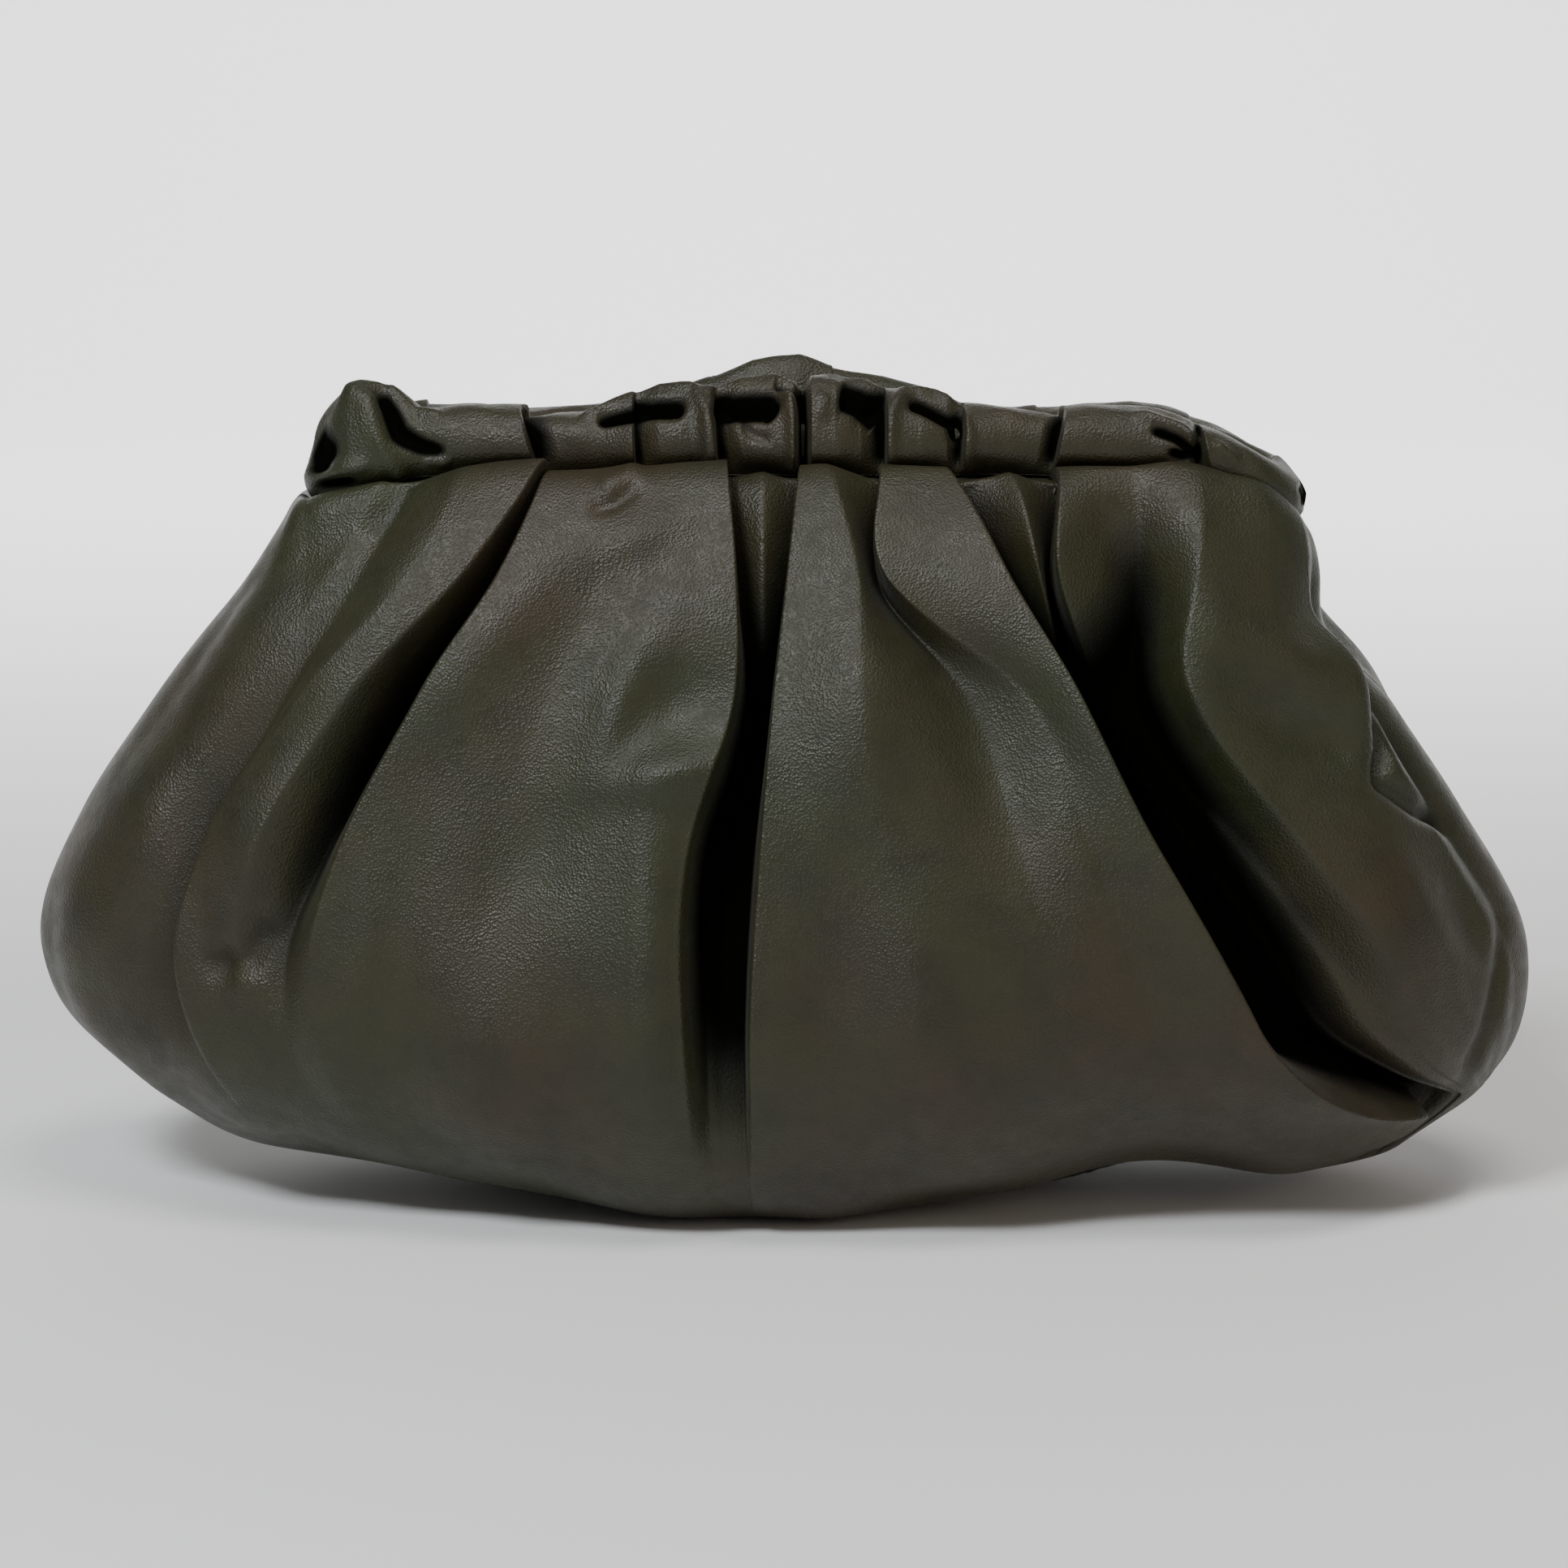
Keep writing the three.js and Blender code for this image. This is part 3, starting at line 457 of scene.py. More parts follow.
def panel_profile(knots, down):
    """Places across and heights of every column, one row for each share of the run."""
    across, rise, rounds, steps = knots(down)
    rows = len(down)
    across = np.concatenate([np.full((rows, 1), -1.0), across, np.full((rows, 1), 1.0)], axis=1)
    rise = np.concatenate([np.zeros((rows, 1)), rise, np.zeros((rows, 1))], axis=1)
    rounds = np.concatenate([[SEAM_ROUND], rounds, [SEAM_ROUND]])
    steps = [SEAM_STEPS, *steps]
    knot = np.concatenate([np.full(count, k) for k, count in enumerate(steps)] + [[len(steps) - 1]])
    share = np.concatenate([np.arange(count) / count for count in steps] + [[1.0]])
    place = hermite(across[:, knot], across[:, knot + 1], rounds[knot], rounds[knot + 1], share)
    height = hermite(rise[:, knot], rise[:, knot + 1], 0, 0, share)
    return np.clip(place, -1, 1), height


def dent_heights(points, dents):
    """The height that a table of dents and swellings adds at each point."""
    total = np.zeros(points.shape[:-1])
    for dent in dents:
        turn = math.radians(dent["turn"])
        dx = points[..., 0] - dent["x"]
        dz = points[..., 2] - dent["z"]
        lengthwise = (dx * math.cos(turn) + dz * math.sin(turn)) / dent["long"]
        crosswise = (-dx * math.sin(turn) + dz * math.cos(turn)) / dent["wide"]
        total += dent["rise"] * np.exp(-(lengthwise**2) - crosswise**2)
    return total


def path_heights(across, up, rows):
    """The height that a table of ridges and hollows along paths adds at places on a flat chart."""
    total = np.zeros(across.shape)
    for row in rows:
        corners = np.array(row["path"], float)
        runs = np.linalg.norm(np.diff(corners, axis=0), axis=1)
        before = np.concatenate([[0], np.cumsum(runs)])
        nearest = np.full(across.shape, np.inf)
        place = np.zeros(across.shape)
        for start, end, run, gone in zip(corners[:-1], corners[1:], runs, before):
            way = (end - start) / run
            along = np.clip((across - start[0]) * way[0] + (up - start[1]) * way[1], 0, run)
            far = np.hypot(across - start[0] - along * way[0], up - start[1] - along * way[1])
            place = np.where(far < nearest, gone + along, place)
            nearest = np.minimum(nearest, far)
        share = place / before[-1]
        taper = row.get("taper", PATH_TAPER)
        comes = smoothstep(share, -PATH_MARGIN, taper)
        goes = smoothstep(share, 1 - taper, 1 + PATH_MARGIN)
        strength = comes * (1 - goes)
        total += row["rise"] * strength * np.exp(-((nearest / row["wide"]) ** 2))
    return total


def wrinkle_heights(points, down):
    """Soft unevenness that fades out at the mouth and on the base."""
    total = np.zeros(points.shape[:-1])
    for layer in WRINKLE_LAYERS:
        waves = (layer["across"], layer["across"], layer["down"])
        total += layer["rise"] * soft_noise(points, waves, layer["seed"])
    comes = smoothstep(down, *WRINKLE_START)[:, None]
    goes = smoothstep(down, *WRINKLE_END)[:, None]
    return total * comes * (1 - goes)


def lowest_around(heights, reach):
    """Each height's lowest neighbour within this many rows and columns."""
    lowest = heights.copy()
    for axis in (0, 1):
        source = lowest.copy()
        for shift in range(-reach, reach + 1):
            moved = np.roll(source, shift, axis=axis)
            if shift > 0:
                moved[(slice(None),) * axis + (slice(0, shift),)] = np.inf
            if shift < 0:
                moved[(slice(None),) * axis + (slice(shift, None),)] = np.inf
            lowest = np.minimum(lowest, moved)
    return lowest


def keep_to_side(points, side, floor=0.0):
    """Moves points that lie past the seam's plane or below the floor back onto them."""
    points[..., 1] = side * np.minimum(side * points[..., 1], -SEAM_GAP / 2)
    points[..., 2] = np.maximum(floor, points[..., 2])
    return points


def panel_grids(knots, side, dents, paths):
    """The outer and the inner grid of one panel, and how deep the outer one lies in its folds."""
    down = np.linspace(0, 1, PANEL_ROWS)
    place, height = panel_profile(knots, down)
    corner = section_at(down)["corner"]
    angle = angle_at(place, corner)
    plain = plain_points(angle, down, side)
    normal = plain_normals(angle, down, side)
    marks = dent_heights(plain, dents) + path_heights(plain[..., 0], plain[..., 2], paths)
    marks = marks * fold_strength(down)[:, None] + wrinkle_heights(plain, down)
    height = height + marks * away_from_seams(place)
    outer = keep_to_side(plain + normal * height[..., None], side)
    low = lowest_around(height, INNER_STRIDE + 1)
    inner = keep_to_side(plain + normal * (low - LEATHER_WALL)[..., None], side, LEATHER_WALL)
    return outer, inner[::INNER_STRIDE, ::INNER_STRIDE], height


def closed_shell(name, outer, inner, height):
    """A mesh between a fine outer grid and a coarser inner grid with the same four edges."""
    rows, columns = outer.shape[:2]
    small_rows, small_columns = inner.shape[:2]
    down_step = (rows - 1) // (small_rows - 1)
    across_step = (columns - 1) // (small_columns - 1)
    vertices = np.concatenate([outer.reshape(-1, 3), inner.reshape(-1, 3)]) * MM
    fine = np.arange(rows * columns).reshape(rows, columns)
    coarse = rows * columns + np.arange(small_rows * small_columns).reshape(small_rows, small_columns)
    faces = grid_faces(fine) + grid_faces(coarse[:, ::-1])
    edges = [
        (fine[0, ::-1], coarse[0, ::-1], across_step),
        (fine[-1, :], coarse[-1, :], across_step),
        (fine[:, 0], coarse[:, 0], down_step),
        (fine[::-1, -1], coarse[::-1, -1], down_step),
    ]
    for long_edge, short_edge, step in edges:
        for i in range(len(short_edge) - 1):
            along = [int(v) for v in long_edge[i * step : i * step + step + 1]]
            faces.append(along + [int(short_edge[i + 1]), int(short_edge[i])])
    mesh = bpy.data.meshes.new(name)
    mesh.from_pydata(vertices.tolist(), [], faces)
    mesh.validate()
    face_outward(mesh)
    mesh.shade_smooth()
    # The relief attribute carries each point's fold height to the leather, which paints shade into the deep
    # hollows.
    relief = mesh.attributes.new("relief", "FLOAT", "POINT")
    values = np.concatenate([height.ravel(), np.zeros(small_rows * small_columns)])
    relief.data.foreach_set("value", values.astype(np.float32))
    piece = bpy.data.objects.new(name, mesh)
    bpy.context.scene.collection.objects.link(piece)
    return piece


def grid_faces(grid):
    corners = (grid[:-1, :-1], grid[1:, :-1], grid[1:, 1:], grid[:-1, 1:])
    return np.stack([corner.ravel() for corner in corners], 1).tolist()


def face_outward(mesh):
    """Turns all faces over if the mesh's volume comes out negative."""
    mesh.calc_loop_triangles()
    count = len(mesh.loop_triangles)
    corners = np.empty(count * 3, np.int32)
    mesh.loop_triangles.foreach_get("vertices", corners)
    places = np.empty(len(mesh.vertices) * 3)
    mesh.vertices.foreach_get("co", places)
    triangles = places.reshape(-1, 3)[corners.reshape(-1, 3)]
    volume = np.einsum("ij,ij->i", triangles[:, 0], np.cross(triangles[:, 1], triangles[:, 2])).sum()
    if volume < 0:
        mesh.flip_normals()


# Sleeves. Pleats of the front sleeve from left to right. x: where it lies along the rail. front, top: how far
# it stands out there and at the top. slant: how far its foot lies to the right of its top. steps: columns up
# to the next one.
FRONT_PLEATS = [
    dict(x=-89, front=0.8, top=5.0, slant=0, steps=16),
    dict(x=-81, front=1.4, top=8.0, slant=3, steps=18),
    dict(x=-75, front=1.2, top=5.6, slant=5, steps=18),
    dict(x=-69, front=0.3, top=0.2, slant=4, steps=22),
    dict(x=-59, front=1.2, top=0.4, slant=3, steps=24),
    dict(x=-49.4, front=3, top=0.6, slant=4.0, steps=14),
    dict(x=-48.4, front=-2.2, top=-2.2, slant=4.4, steps=16),
    dict(x=-43.5, front=-0.1, top=-1.4, slant=3, steps=20),
    dict(x=-36, front=0.7, top=-1.0, slant=2, steps=20),
    dict(x=-29.0, front=2.6, top=1.8, slant=0.5, steps=14),
    dict(x=-28.2, front=-2.2, top=1.6, slant=0.5, steps=14),
    dict(x=-23.5, front=0.8, top=3.8, slant=1, steps=20),
    dict(x=-18, front=1.6, top=4.2, slant=1, steps=16),
    dict(x=-13.6, front=3.2, top=3.4, slant=2, steps=14),
    dict(x=-12.6, front=-2.2, top=2.8, slant=1, steps=14),
    dict(x=-8, front=0.8, top=4.8, slant=1, steps=20),
    dict(x=-2, front=1.6, top=5.2, slant=0, steps=16),
    dict(x=1.8, front=2.7, top=5.0, slant=0, steps=14),
    dict(x=3.6, front=-2.2, top=3.4, slant=0, steps=14),
    dict(x=5.4, front=2.7, top=6.2, slant=0, steps=16),
    dict(x=9.5, front=2.2, top=6.0, slant=0, steps=18),
    dict(x=14.5, front=0.5, top=5.0, slant=0, steps=16),
    dict(x=19.0, front=-2.2, top=3.8, slant=0, steps=14),
    dict(x=20.0, front=3, top=3.6, slant=0, steps=18),
    dict(x=26, front=1.6, top=3.4, slant=0, steps=20),
    dict(x=31, front=0.4, top=2.2, slant=0, steps=14),
    dict(x=33.8, front=-2.2, top=0.6, slant=-1, steps=12),
    dict(x=35.0, front=2.4, top=0.6, slant=-1, steps=20),
    dict(x=43, front=1.2, top=0.2, slant=-1, steps=18),
    dict(x=49, front=0.1, top=-1.4, slant=-2, steps=14),
    dict(x=52.4, front=-2.2, top=-2.0, slant=-3, steps=12),
    dict(x=53.4, front=3.2, top=0.2, slant=-3, steps=22),
    dict(x=61, front=2.2, top=0.2, slant=-2, steps=18),
    dict(x=70, front=1.8, top=0.0, slant=0, steps=18),
    dict(x=77.5, front=2.4, top=-1.6, slant=0, steps=14),
    dict(x=79.6, front=-2.2, top=-2.2, slant=0, steps=12),
    dict(x=81.2, front=1.6, top=-2.0, slant=3, steps=18),
    dict(x=88, front=0.3, top=-2.2, slant=1, steps=16),
    dict(x=95, front=0.3, top=-2.0, slant=0, steps=14),
]
BACK_PLEATS = [
    dict(x=-86, front=0.6, top=1.2, slant=0, steps=20),
    dict(x=-70, front=1.8, top=0.4, slant=0, steps=14),
    dict(x=-69, front=-1.0, top=-0.6, slant=0, steps=26),
    dict(x=-52, front=1.6, top=-1.6, slant=0, steps=14),
    dict(x=-51, front=-1.0, top=-2.0, slant=0, steps=26),
    dict(x=-36, front=1.6, top=-1.2, slant=0, steps=14),
    dict(x=-35, front=-0.8, top=-1.0, slant=0, steps=22),
    dict(x=-22, front=1.6, top=2.0, slant=0, steps=18),
    dict(x=-14.5, front=0.8, top=4.6, slant=0, steps=14),
    dict(x=-13.5, front=-0.8, top=4.8, slant=0, steps=18),
    dict(x=-6, front=0.8, top=8.0, slant=0, steps=18),
    dict(x=3, front=1.5, top=9.2, slant=0, steps=18),
    dict(x=9, front=1.6, top=7.0, slant=0, steps=14),
    dict(x=10, front=-0.4, top=6.4, slant=0, steps=18),
    dict(x=19, front=0.8, top=4.6, slant=0, steps=18),
    dict(x=28, front=1.6, top=2.4, slant=0, steps=14),
    dict(x=29, front=-0.8, top=1.8, slant=0, steps=22),
    dict(x=36, front=0.6, top=-1.6, slant=0, steps=20),
    dict(x=49, front=1.6, top=-1.6, slant=0, steps=14),
    dict(x=50, front=-1.0, top=-2.0, slant=0, steps=24),
    dict(x=68, front=1.5, top=-0.6, slant=0, steps=24),
    dict(x=79, front=1.3, top=-1.8, slant=0, steps=14),
    dict(x=80, front=-1.0, top=-2.2, slant=0, steps=20),
    dict(x=91, front=0.2, top=-2.0, slant=0, steps=20),
]

# Straps, rolls and hollows of the front sleeve along paths of (x, degrees up from straight out).
FRONT_SLEEVE_PATHS = [
    dict(path=((-94, 0), (-91, 45), (-86, 80), (-79, 95), (-72, 78), (-64, 45)),
         wide=1.7, rise=1.2, taper=0.1),
    dict(path=((-84, 78), (-79.5, 62), (-78, 32), (-75.5, 0), (-73, -38)), wide=1.6, rise=1.6, taper=0.05),
    dict(path=((-78, 92), (-75.4, 60), (-73.6, 30), (-69, 4), (-64, -14)), wide=1.5, rise=-3.6, taper=0.2),
    dict(path=((-89, 48), (-85, 22), (-85.5, -4)), wide=2.2, rise=-3.6, taper=0.2),
    dict(path=((-86, 14), (-82, 0), (-78, -8)), wide=1.3, rise=1.4),
    dict(path=((-87, -22), (-80, -26)), wide=1.2, rise=-1.8),
    dict(path=((-69, -12), (-63, -26)), wide=1.2, rise=0.8),
    dict(path=((-39, 62), (-32, 84), (-23, 92), (-17, 78), (-14.6, 42), (-14.0, -40)),
         wide=1.5, rise=1.3, taper=0.05),
    dict(path=((-36, 50), (-29, 50), (-20.5, 48), (-18.8, 36)), wide=1.5, rise=-4.4, taper=0.15),
    dict(path=((-25, 6), (-22, 6)), wide=4.2, rise=1.3, taper=0),
    dict(path=((-16, 74), (-10, 92), (-3, 96), (0.8, 72), (1.9, 30), (2.2, -40)),
         wide=1.5, rise=1.3, taper=0.05),
    dict(path=((-13.6, 60), (-10, 48), (-3, 48), (-1.4, 34)), wide=1.9, rise=-4.8, taper=0.12),
    dict(path=((-8, 8), (-5, 4)), wide=4.0, rise=1.2, taper=0),
    dict(path=((-9, 34), (-6, 16), (-1.5, 8)), wide=0.9, rise=-1.6),
    dict(path=((-2, 78), (2.8, 64), (3.6, 30), (3.6, -45)), wide=1.0, rise=-2.4, taper=0.05),
    dict(path=((5, 98), (12, 108), (19, 92)), wide=1.6, rise=1.0),
    dict(path=((10.5, 62), (14, 56), (18.2, 38)), wide=2.1, rise=-4.6, taper=0.12),
    dict(path=((8, 60), (6.6, 28)), wide=1.6, rise=0.9),
    dict(path=((12, 4), (14, 0)), wide=3.8, rise=1.1, taper=0),
    dict(path=((20.4, -40), (20.6, 40), (23, 78), (29, 84), (33.6, 60), (35.4, 20), (35, -40)),
         wide=1.3, rise=1.1, taper=0.03),
    dict(path=((23.6, 62), (28, 48), (32, 34), (33.4, 6)), wide=1.2, rise=-3.2, taper=0.12),
    dict(path=((27, -2), (28.5, -4)), wide=4.0, rise=1.0, taper=0),
    dict(path=((70, 34), (75.4, 18), (78.4, -2), (76, -10), (73, -4)), wide=1.1, rise=-2.8, taper=0.15),
    dict(path=((66, 62), (76, 42), (80.4, 10), (80.6, -35)), wide=1.3, rise=1.1, taper=0.15),
    dict(path=((82, 34), (88, 8)), wide=1.6, rise=0.8),
    dict(path=((98, 20), (100.4, -24)), wide=2.2, rise=-1.8),
]
BACK_SLEEVE_PATHS = [
    dict(path=((-70, 80), (-68, 10), (-66, -40)), wide=1.6, rise=-1.4),
    dict(path=((-30, 70), (-24, 20), (-25, -30)), wide=1.8, rise=-1.2),
    dict(path=((6, 80), (12, 30), (11, -30)), wide=1.8, rise=-1.4),
    dict(path=((52, 70), (58, 10), (56, -30)), wide=1.8, rise=-1.2),
]

# DEGREE_ARC: millimetres round a sleeve in one degree. THINNEST_SLEEVE: how far a path may press into the
# plain sleeve. SLEEVE_END, SLEEVE_END_PULL: over which distances from the middle the sleeve's top narrows,
# and by what share. SLEEVE_RELIEF: how many times more than a panel's the sleeve's hollows are darkened by
# painted shade.
DEGREE_ARC = 0.131
THINNEST_SLEEVE = 1.9
SLEEVE_END = (84, 92)
SLEEVE_END_PULL = 0.45
SLEEVE_RELIEF = 6.0
SLEEVE_NOISE = dict(rise=0.16, wave=11, turn=9, seed=21)

# Grids of the sleeves, how a pleat leans along its turn, how it stands out in front, and the room that the
# bore leaves round the bar.
SLEEVE_ROWS = 85
SLEEVE_INNER_STRIDE = 6
SLEEVE_EDGE_STEPS = 16
PLEAT_ROUND = 2.2
LEAN_MIDDLE = 0.35
LEAN_SPAN = (-0.2, 0.4)
FRONT_POWER = 0.7
FRONT_FROM = -0.1
BORE_SIDE_ROOM = 0.3
BORE_TOP_ROOM = 0.5


def rail_places(x, side):
    """Points of a rail's middle line and the directions straight out, at these places along the bag."""
    end = math.pi / 2 * FRAME_END_RADIUS
    limit = np.where(x < 0, FRAME_LEFT, FRAME_RIGHT)
    reach = limit - FRAME_END_RADIUS
    run = np.abs(x) / limit * (reach + end)
    bend = np.maximum(0, run - reach) / FRAME_END_RADIUS
    along = np.sign(x) * (np.minimum(run, reach) + FRAME_END_RADIUS * np.sin(bend))
    out = np.stack([np.sign(x) * np.sin(bend), -side * np.cos(bend), np.zeros_like(x)], -1)
    point = np.stack([along, -side * FRAME_END_RADIUS * np.cos(bend), RAIL_HEIGHT - end_drop(along)], -1)
    return point, out


def sleeve_grids(pleats, side, paths):
    """The outer grid of a sleeve from its outer foot over the top to its inner foot, its bore and relief."""
    edge = dict(front=0, top=0, slant=0, steps=SLEEVE_EDGE_STEPS)
    knots = [dict(edge, x=-FRAME_LEFT), *pleats, dict(edge, x=FRAME_RIGHT)]
    count = sum(knot["steps"] for knot in knots[:-1])
    knots[0]["steps"] += -count % SLEEVE_INNER_STRIDE
    steps = [knot["steps"] for knot in knots[:-1]]
    knot = np.concatenate([np.full(n, k) for k, n in enumerate(steps)] + [[len(steps) - 1]])
    share = np.concatenate([np.arange(n) / n for n in steps] + [[1.0]])
    column = {name: np.array([row[name] for row in knots], float) for name in ("x", "front", "top", "slant")}
    x = hermite(column["x"][knot], column["x"][knot + 1], PLEAT_ROUND, PLEAT_ROUND, share)
    front, top, slant = (
        hermite(column[name][knot], column[name][knot + 1], 0, 0, share) for name in ("front", "top", "slant")
    )
    turn = np.linspace(-SLEEVE_OPENING, math.pi + SLEEVE_OPENING, SLEEVE_ROWS)[:, None]
    toward_foot = np.clip(0.5 - 0.5 * np.sin(turn), 0, 1)
    lean = slant * (toward_foot - LEAN_MIDDLE) * smoothstep(np.cos(turn), *LEAN_SPAN)
    x = np.clip(x + lean, -FRAME_LEFT, FRAME_RIGHT)
    point, out = rail_places(x, side)
    to_front = np.maximum(0, np.cos(turn)) ** FRONT_POWER * smoothstep(turn, -SLEEVE_OPENING, FRONT_FROM)
    to_top = np.maximum(0, np.sin(turn)) ** 2
    pinch = path_heights(x, np.degrees(turn) * DEGREE_ARC + 0 * x, in_arc(paths))
    chart = np.stack([x, SLEEVE_NOISE["turn"] * turn + 0 * x, 0 * x], -1)
    pinch += SLEEVE_NOISE["rise"] * soft_noise(chart, (SLEEVE_NOISE["wave"],) * 3, SLEEVE_NOISE["seed"])
    deepest = -THINNEST_SLEEVE - np.maximum(0, front * to_front + top * to_top)
    pinch = np.maximum(pinch, deepest)
    radius = 1 + pinch / SLEEVE_HALF_HEIGHT
    pull = SLEEVE_END_PULL * smoothstep(np.abs(x), *SLEEVE_END) * np.clip(np.sin(turn), 0, 1)
    reach = (SLEEVE_HALF_WIDTH * np.cos(turn) * radius + front * to_front) * (1 - pull)
    rise = SLEEVE_HALF_HEIGHT * np.sin(turn) * radius + top * to_top
    outer = point + out * reach[..., None]
    outer[..., 2] += rise
    bore_turn = np.linspace(-1, 1, SLEEVE_ROWS)[:, None]
    bore_side = BAR_WIDTH / 2 + BORE_SIDE_ROOM
    bore_top = BAR_HEIGHT / 2 + BORE_TOP_ROOM
    bore_reach = -bore_side * np.clip(bore_turn * 2, -1, 1)
    bore_rise = bore_top - (SLEEVE_FOOT + bore_top) * np.clip(np.abs(bore_turn) * 2 - 1, 0, 1)
    inner = point + out * (bore_reach + 0 * reach)[..., None]
    inner[..., 2] += bore_rise + 0 * rise
    keep_to_side(outer, side)
    keep_to_side(inner, side)
    # Relief handed to the leather's painted shade: the sleeve's pinches and the recesses behind its pleats,
    # scaled up by SLEEVE_RELIEF so that they are painted darker.
    relief = SLEEVE_RELIEF * (pinch + np.minimum(0, front * to_front))
    return outer, inner[::SLEEVE_INNER_STRIDE, ::SLEEVE_INNER_STRIDE], relief


def in_arc(paths):
    """The same paths with their degrees turned into millimetres round the sleeve."""
    return [dict(row, path=[(x, degrees * DEGREE_ARC) for x, degrees in row["path"]]) for row in paths]


# Leather. scale: waves or cells in a metre. The edges say between which values of a noise its mask comes in.
PATCHES = dict(scale=14, detail=3, rough=0.55)
PATCHES_EDGE = (0.40, 0.62)
MOTTLE = dict(scale=70, detail=4, rough=0.6)
MOTTLE_EDGE = (0.42, 0.66)
MOTTLE_MOST = 0.55
CREASES = dict(scale=160, detail=6, rough=0.65)
CREASES_SHARE = 0.25
GLOSS_SPOTS = dict(scale=230, detail=3, rough=0.6)
GLOSS_EDGE = (0.35, 0.65)
LEATHER_ROUGH = (0.42, 0.54)
LEATHER_SPECULAR = 0.42
LEATHER_SHEEN = 0.04
SHEEN_ROUGH = 0.4
GRAIN_SCALE = 1900
GRAIN_STRENGTH = 0.45
GRAIN_HEIGHT = 0.00030
WANDER_SCALE = 500
WANDER_REACH = 0.0003

# Painted shade: in the folds' hollows the leather's colour is blended toward near black and its shader toward
# a dark matte diffuse, from SHALLOW_HOLLOW down to DEEP_HOLLOW, both in millimetres of relief.
SHALLOW_HOLLOW = -1.5
DEEP_HOLLOW = -9
HOLLOW_MOST = 0.95
HOLLOW_SHADE = 0.1
HOLLOW_ROUGH = 0.35

# Colours as the eye sees them, 0 to 255.
OLIVE = (37, 40, 18)
WARM_OLIVE = (44, 36, 19)
DARK_OLIVE = (26, 28, 14)
METAL_DARK = (50, 30, 24)
METAL_LIGHT = (92, 58, 44)
METAL_SPOTS = 400
METAL_ROUGH = 0.5


def new_material(name):
    """A material with one principled shader, and that shader."""
    material = bpy.data.materials.new(name)
    material.use_nodes = True
    nodes = material.node_tree.nodes
    nodes.clear()
    shader = nodes.new("ShaderNodeBsdfPrincipled")
    output = nodes.new("ShaderNodeOutputMaterial")
    material.node_tree.links.new(shader.outputs[0], output.inputs["Surface"])
    return material, shader


def linear(red, green, blue):
    """A colour given as the eye sees it, 0 to 255, as linear light."""
    shares = (red / 255, green / 255, blue / 255)
    return tuple(((v + 0.055) / 1.055) ** 2.4 if v > 0.04045 else v / 12.92 for v in shares)


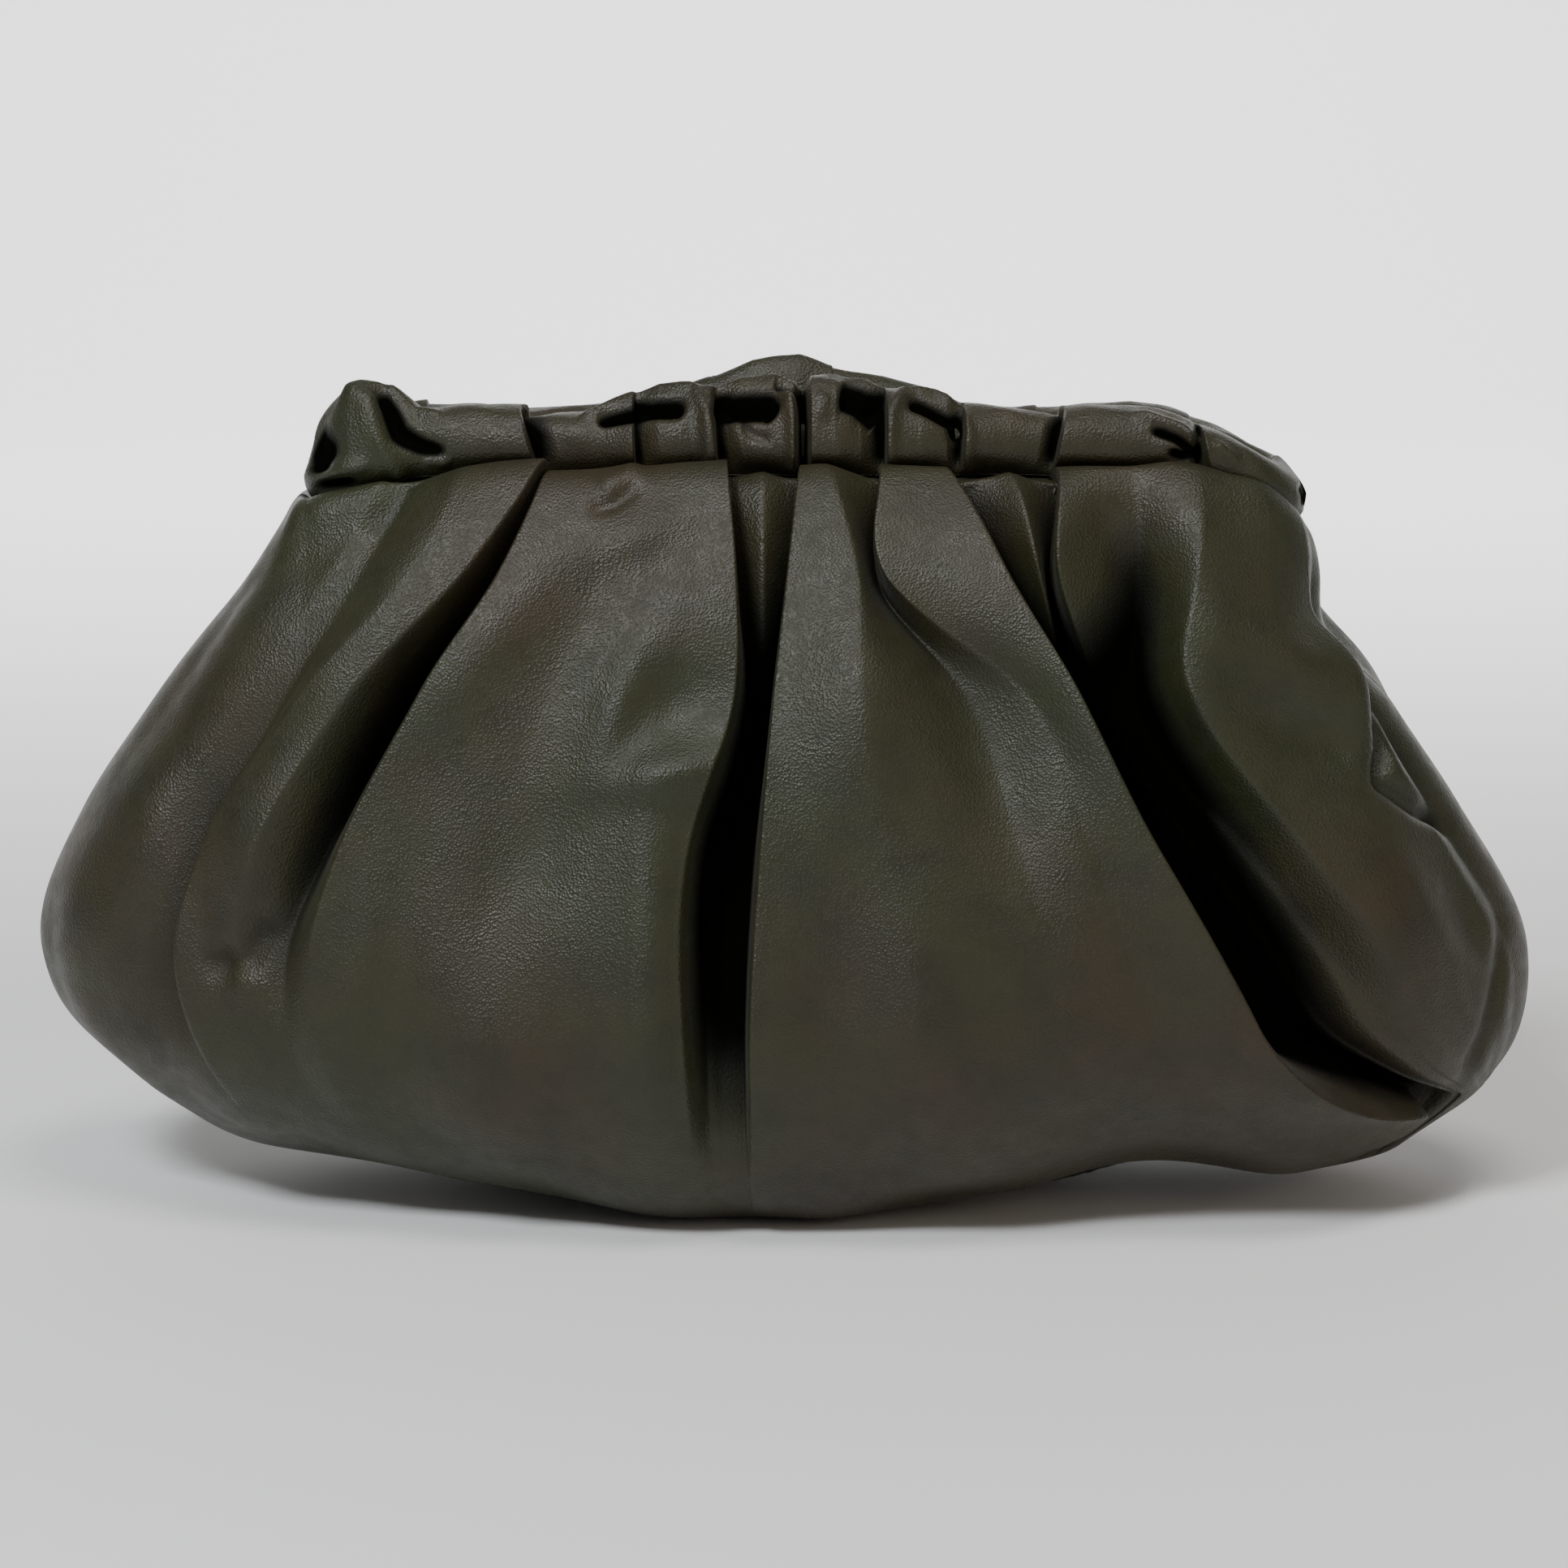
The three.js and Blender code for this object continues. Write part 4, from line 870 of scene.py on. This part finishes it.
def leather_material(name, base, warm, dark):
    """Leather in three tones with a fine grain, with painted shade that turns it nearly black in the deep
    hollows of its relief.
    """
    material, shader = new_material(name)
    tree = material.node_tree
    nodes, links = tree.nodes, tree.links
    place = nodes.new("ShaderNodeTexCoord").outputs["Object"]

    def noise(scale, detail, rough):
        node = nodes.new("ShaderNodeTexNoise")
        node.inputs["Scale"].default_value = scale
        node.inputs["Detail"].default_value = detail
        node.inputs["Roughness"].default_value = rough
        links.new(place, node.inputs["Vector"])
        return node.outputs[0]

    def spread(value, low, high, to_low=0.0, to_high=1.0):
        node = nodes.new("ShaderNodeMapRange")
        node.inputs["From Min"].default_value = low
        node.inputs["From Max"].default_value = high
        node.inputs["To Min"].default_value = to_low
        node.inputs["To Max"].default_value = to_high
        links.new(value, node.inputs["Value"])
        return node.outputs["Result"]

    def blend(share, first, second):
        node = nodes.new("ShaderNodeMix")
        node.data_type = "RGBA"
        links.new(share, node.inputs["Factor"])
        for socket, colour in ((node.inputs[6], first), (node.inputs[7], second)):
            if isinstance(colour, tuple):
                socket.default_value = (*colour, 1)
            else:
                links.new(colour, socket)
        return node.outputs[2]

    # Painted shade: the near-black colour that the leather takes in deep hollows.
    shadow = tuple(part * HOLLOW_SHADE for part in dark)
    patches = spread(noise(**PATCHES), *PATCHES_EDGE)
    mottle = spread(noise(**MOTTLE), *MOTTLE_EDGE, 0.0, MOTTLE_MOST)
    colour = blend(patches, base, warm)
    colour = blend(mottle, colour, dark)
    # Mask of the painted shade, from the relief attribute: 0 on crests, up to HOLLOW_MOST in the deepest
    # hollows.
    relief = nodes.new("ShaderNodeAttribute")
    relief.attribute_name = "relief"
    hollow = spread(relief.outputs["Fac"], DEEP_HOLLOW, SHALLOW_HOLLOW, HOLLOW_MOST, 0.0)
    colour = blend(hollow, colour, shadow)
    links.new(colour, shader.inputs["Base Color"])

    grain = nodes.new("ShaderNodeTexVoronoi")
    grain.feature = "F1"
    grain.inputs["Scale"].default_value = GRAIN_SCALE
    bent = nodes.new("ShaderNodeVectorMath")
    bent.operation = "MULTIPLY_ADD"
    wander = nodes.new("ShaderNodeTexNoise")
    wander.inputs["Scale"].default_value = WANDER_SCALE
    links.new(place, wander.inputs["Vector"])
    links.new(wander.outputs["Color"], bent.inputs[0])
    bent.inputs[1].default_value = (WANDER_REACH,) * 3
    links.new(place, bent.inputs[2])
    links.new(bent.outputs[0], grain.inputs["Vector"])
    creases = noise(**CREASES)

    height = nodes.new("ShaderNodeMath")
    height.operation = "MULTIPLY_ADD"
    links.new(creases, height.inputs[0])
    height.inputs[1].default_value = CREASES_SHARE
    links.new(grain.outputs["Distance"], height.inputs[2])
    bump = nodes.new("ShaderNodeBump")
    bump.inputs["Strength"].default_value = GRAIN_STRENGTH
    bump.inputs["Distance"].default_value = GRAIN_HEIGHT
    links.new(height.outputs[0], bump.inputs["Height"])
    links.new(bump.outputs[0], shader.inputs["Normal"])

    rough = nodes.new("ShaderNodeMath")
    rough.operation = "MULTIPLY_ADD"
    links.new(hollow, rough.inputs[0])
    rough.inputs[1].default_value = HOLLOW_ROUGH
    links.new(spread(noise(**GLOSS_SPOTS), *GLOSS_EDGE, *LEATHER_ROUGH), rough.inputs[2])
    links.new(rough.outputs[0], shader.inputs["Roughness"])
    shader.inputs["Specular IOR Level"].default_value = LEATHER_SPECULAR
    shader.inputs["Sheen Weight"].default_value = LEATHER_SHEEN
    shader.inputs["Sheen Roughness"].default_value = SHEEN_ROUGH

    # Painted shade: a dark matte diffuse mixed in over the deep hollows, so that they stay black under any
    # lamp.
    shade = nodes.new("ShaderNodeBsdfDiffuse")
    shade.inputs["Color"].default_value = (*shadow, 1)
    painted_shade_mix = nodes.new("ShaderNodeMixShader")
    links.new(hollow, painted_shade_mix.inputs[0])
    links.new(shader.outputs[0], painted_shade_mix.inputs[1])
    links.new(shade.outputs[0], painted_shade_mix.inputs[2])
    output = next(node for node in nodes if node.type == "OUTPUT_MATERIAL")
    links.new(painted_shade_mix.outputs[0], output.inputs["Surface"])
    return material


def coated_metal():
    """Reddish brown paint with faint spots."""
    material, shader = new_material("coated_metal")
    nodes, links = material.node_tree.nodes, material.node_tree.links
    spots = nodes.new("ShaderNodeTexNoise")
    spots.inputs["Scale"].default_value = METAL_SPOTS
    place = nodes.new("ShaderNodeTexCoord").outputs["Object"]
    links.new(place, spots.inputs["Vector"])
    ramp = nodes.new("ShaderNodeValToRGB")
    ramp.color_ramp.elements[0].color = (*linear(*METAL_DARK), 1)
    ramp.color_ramp.elements[1].color = (*linear(*METAL_LIGHT), 1)
    links.new(spots.outputs[0], ramp.inputs[0])
    links.new(ramp.outputs[0], shader.inputs["Base Color"])
    shader.inputs["Roughness"].default_value = METAL_ROUGH
    return material


leather = leather_material("leather", linear(*OLIVE), linear(*WARM_OLIVE), linear(*DARK_OLIVE))
metal = coated_metal()

# Pieces: name, the node each replaces, and its grids.
FRONT, BACK = 1, -1
pieces = [
    ("leather_panel_front", "panel_front", panel_grids(front_knots, FRONT, FRONT_DENTS, FRONT_PATHS)),
    ("leather_panel_back", "panel_back", panel_grids(back_knots, BACK, BACK_DENTS, [])),
    ("leather_sleeve_front", "sleeve_front", sleeve_grids(FRONT_PLEATS, FRONT, FRONT_SLEEVE_PATHS)),
    ("leather_sleeve_back", "sleeve_back", sleeve_grids(BACK_PLEATS, BACK, BACK_SLEEVE_PATHS)),
]
for name, node, (outer, inner, height) in pieces:
    piece = closed_shell(name, outer, inner, height)
    piece.data.materials.append(leather)
    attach(piece, "root")
    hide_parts(node)

frame_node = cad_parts["frame"]
frame_node.data.materials.clear()
frame_node.data.materials.append(metal)

# Floor, light and air, in metres and watts.
STAGE_HALF_WIDTH = 6.0
STAGE_FRONT, STAGE_BACK, STAGE_TOP = -5.0, 1.6, 4.0
STAGE_BEND, STAGE_BEND_STEPS = 1.2, 15
FLOOR_COLOUR = (0.88, 0.88, 0.88)
FLOOR_ROUGH, FLOOR_SPECULAR = 0.9, 0.1
AIR_COLOUR = (1.0, 0.99, 0.97)
AIR_STRENGTH = 0.16
LIGHTS = [
    dict(name="window", place=(-0.52, -0.90, 1.08), target=(0, 0, 0.08),
         size=(0.36, 0.32), power=16.5, colour=(0.93, 0.96, 1.0)),
    dict(name="skylight", place=(0.25, -0.45, 1.5), target=(0, 0, 0.1),
         size=(0.7, 0.5), power=9, colour=(1.0, 0.98, 0.94)),
    dict(name="warm_fill", place=(1.1, -0.9, 0.55), target=(0, 0, 0.07),
         size=(0.7, 0.5), power=2.5, colour=(1.0, 0.82, 0.62)),
    dict(name="wall_wash", place=(0, 0.8, 1.4), target=(0, 2.8, 0.5),
         size=(3.0, 0.6), power=110, colour=(1.0, 1.0, 1.0)),
]


def stage_sweep():
    """A floor that turns up in a wide curve into a back wall."""
    bend = [math.radians(90 * i / STAGE_BEND_STEPS) for i in range(STAGE_BEND_STEPS + 1)]
    profile = [(STAGE_FRONT, 0)]
    profile += [(STAGE_BACK + STAGE_BEND * math.sin(a), STAGE_BEND * (1 - math.cos(a))) for a in bend]
    profile += [(STAGE_BACK + STAGE_BEND, STAGE_TOP)]
    vertices = [(x, y, z) for y, z in profile for x in (-STAGE_HALF_WIDTH, STAGE_HALF_WIDTH)]
    faces = [(2 * i, 2 * i + 1, 2 * i + 3, 2 * i + 2) for i in range(len(profile) - 1)]
    mesh = bpy.data.meshes.new("floor")
    mesh.from_pydata(vertices, [], faces)
    mesh.shade_smooth()
    sweep = bpy.data.objects.new("floor", mesh)
    bpy.context.scene.collection.objects.link(sweep)
    return sweep


floor = stage_sweep()
floor_material, floor_shader = new_material("pale_floor")
floor_shader.inputs["Base Color"].default_value = (*FLOOR_COLOUR, 1)
floor_shader.inputs["Roughness"].default_value = FLOOR_ROUGH
floor_shader.inputs["Specular IOR Level"].default_value = FLOOR_SPECULAR
floor.data.materials.append(floor_material)


def area_light(name, place, target, size, power, colour):
    """A rectangular light at a place, turned toward its target."""
    data = bpy.data.lights.new(name, "AREA")
    data.shape = "RECTANGLE"
    data.size, data.size_y = size
    data.energy = power
    data.color = colour
    light = bpy.data.objects.new(name, data)
    bpy.context.scene.collection.objects.link(light)
    light.location = place
    direction = np.array(target) - np.array(place)
    yaw = math.atan2(direction[1], direction[0]) - math.pi / 2
    pitch = math.atan2(direction[2], math.hypot(direction[0], direction[1]))
    light.rotation_euler = (pitch + math.pi / 2, 0, yaw)
    return light


for light in LIGHTS:
    area_light(**light)

world = bpy.data.worlds.new("soft_air")
world.use_nodes = True
background = world.node_tree.nodes["Background"]
background.inputs["Color"].default_value = (*AIR_COLOUR, 1)
background.inputs["Strength"].default_value = AIR_STRENGTH
bpy.context.scene.world = world
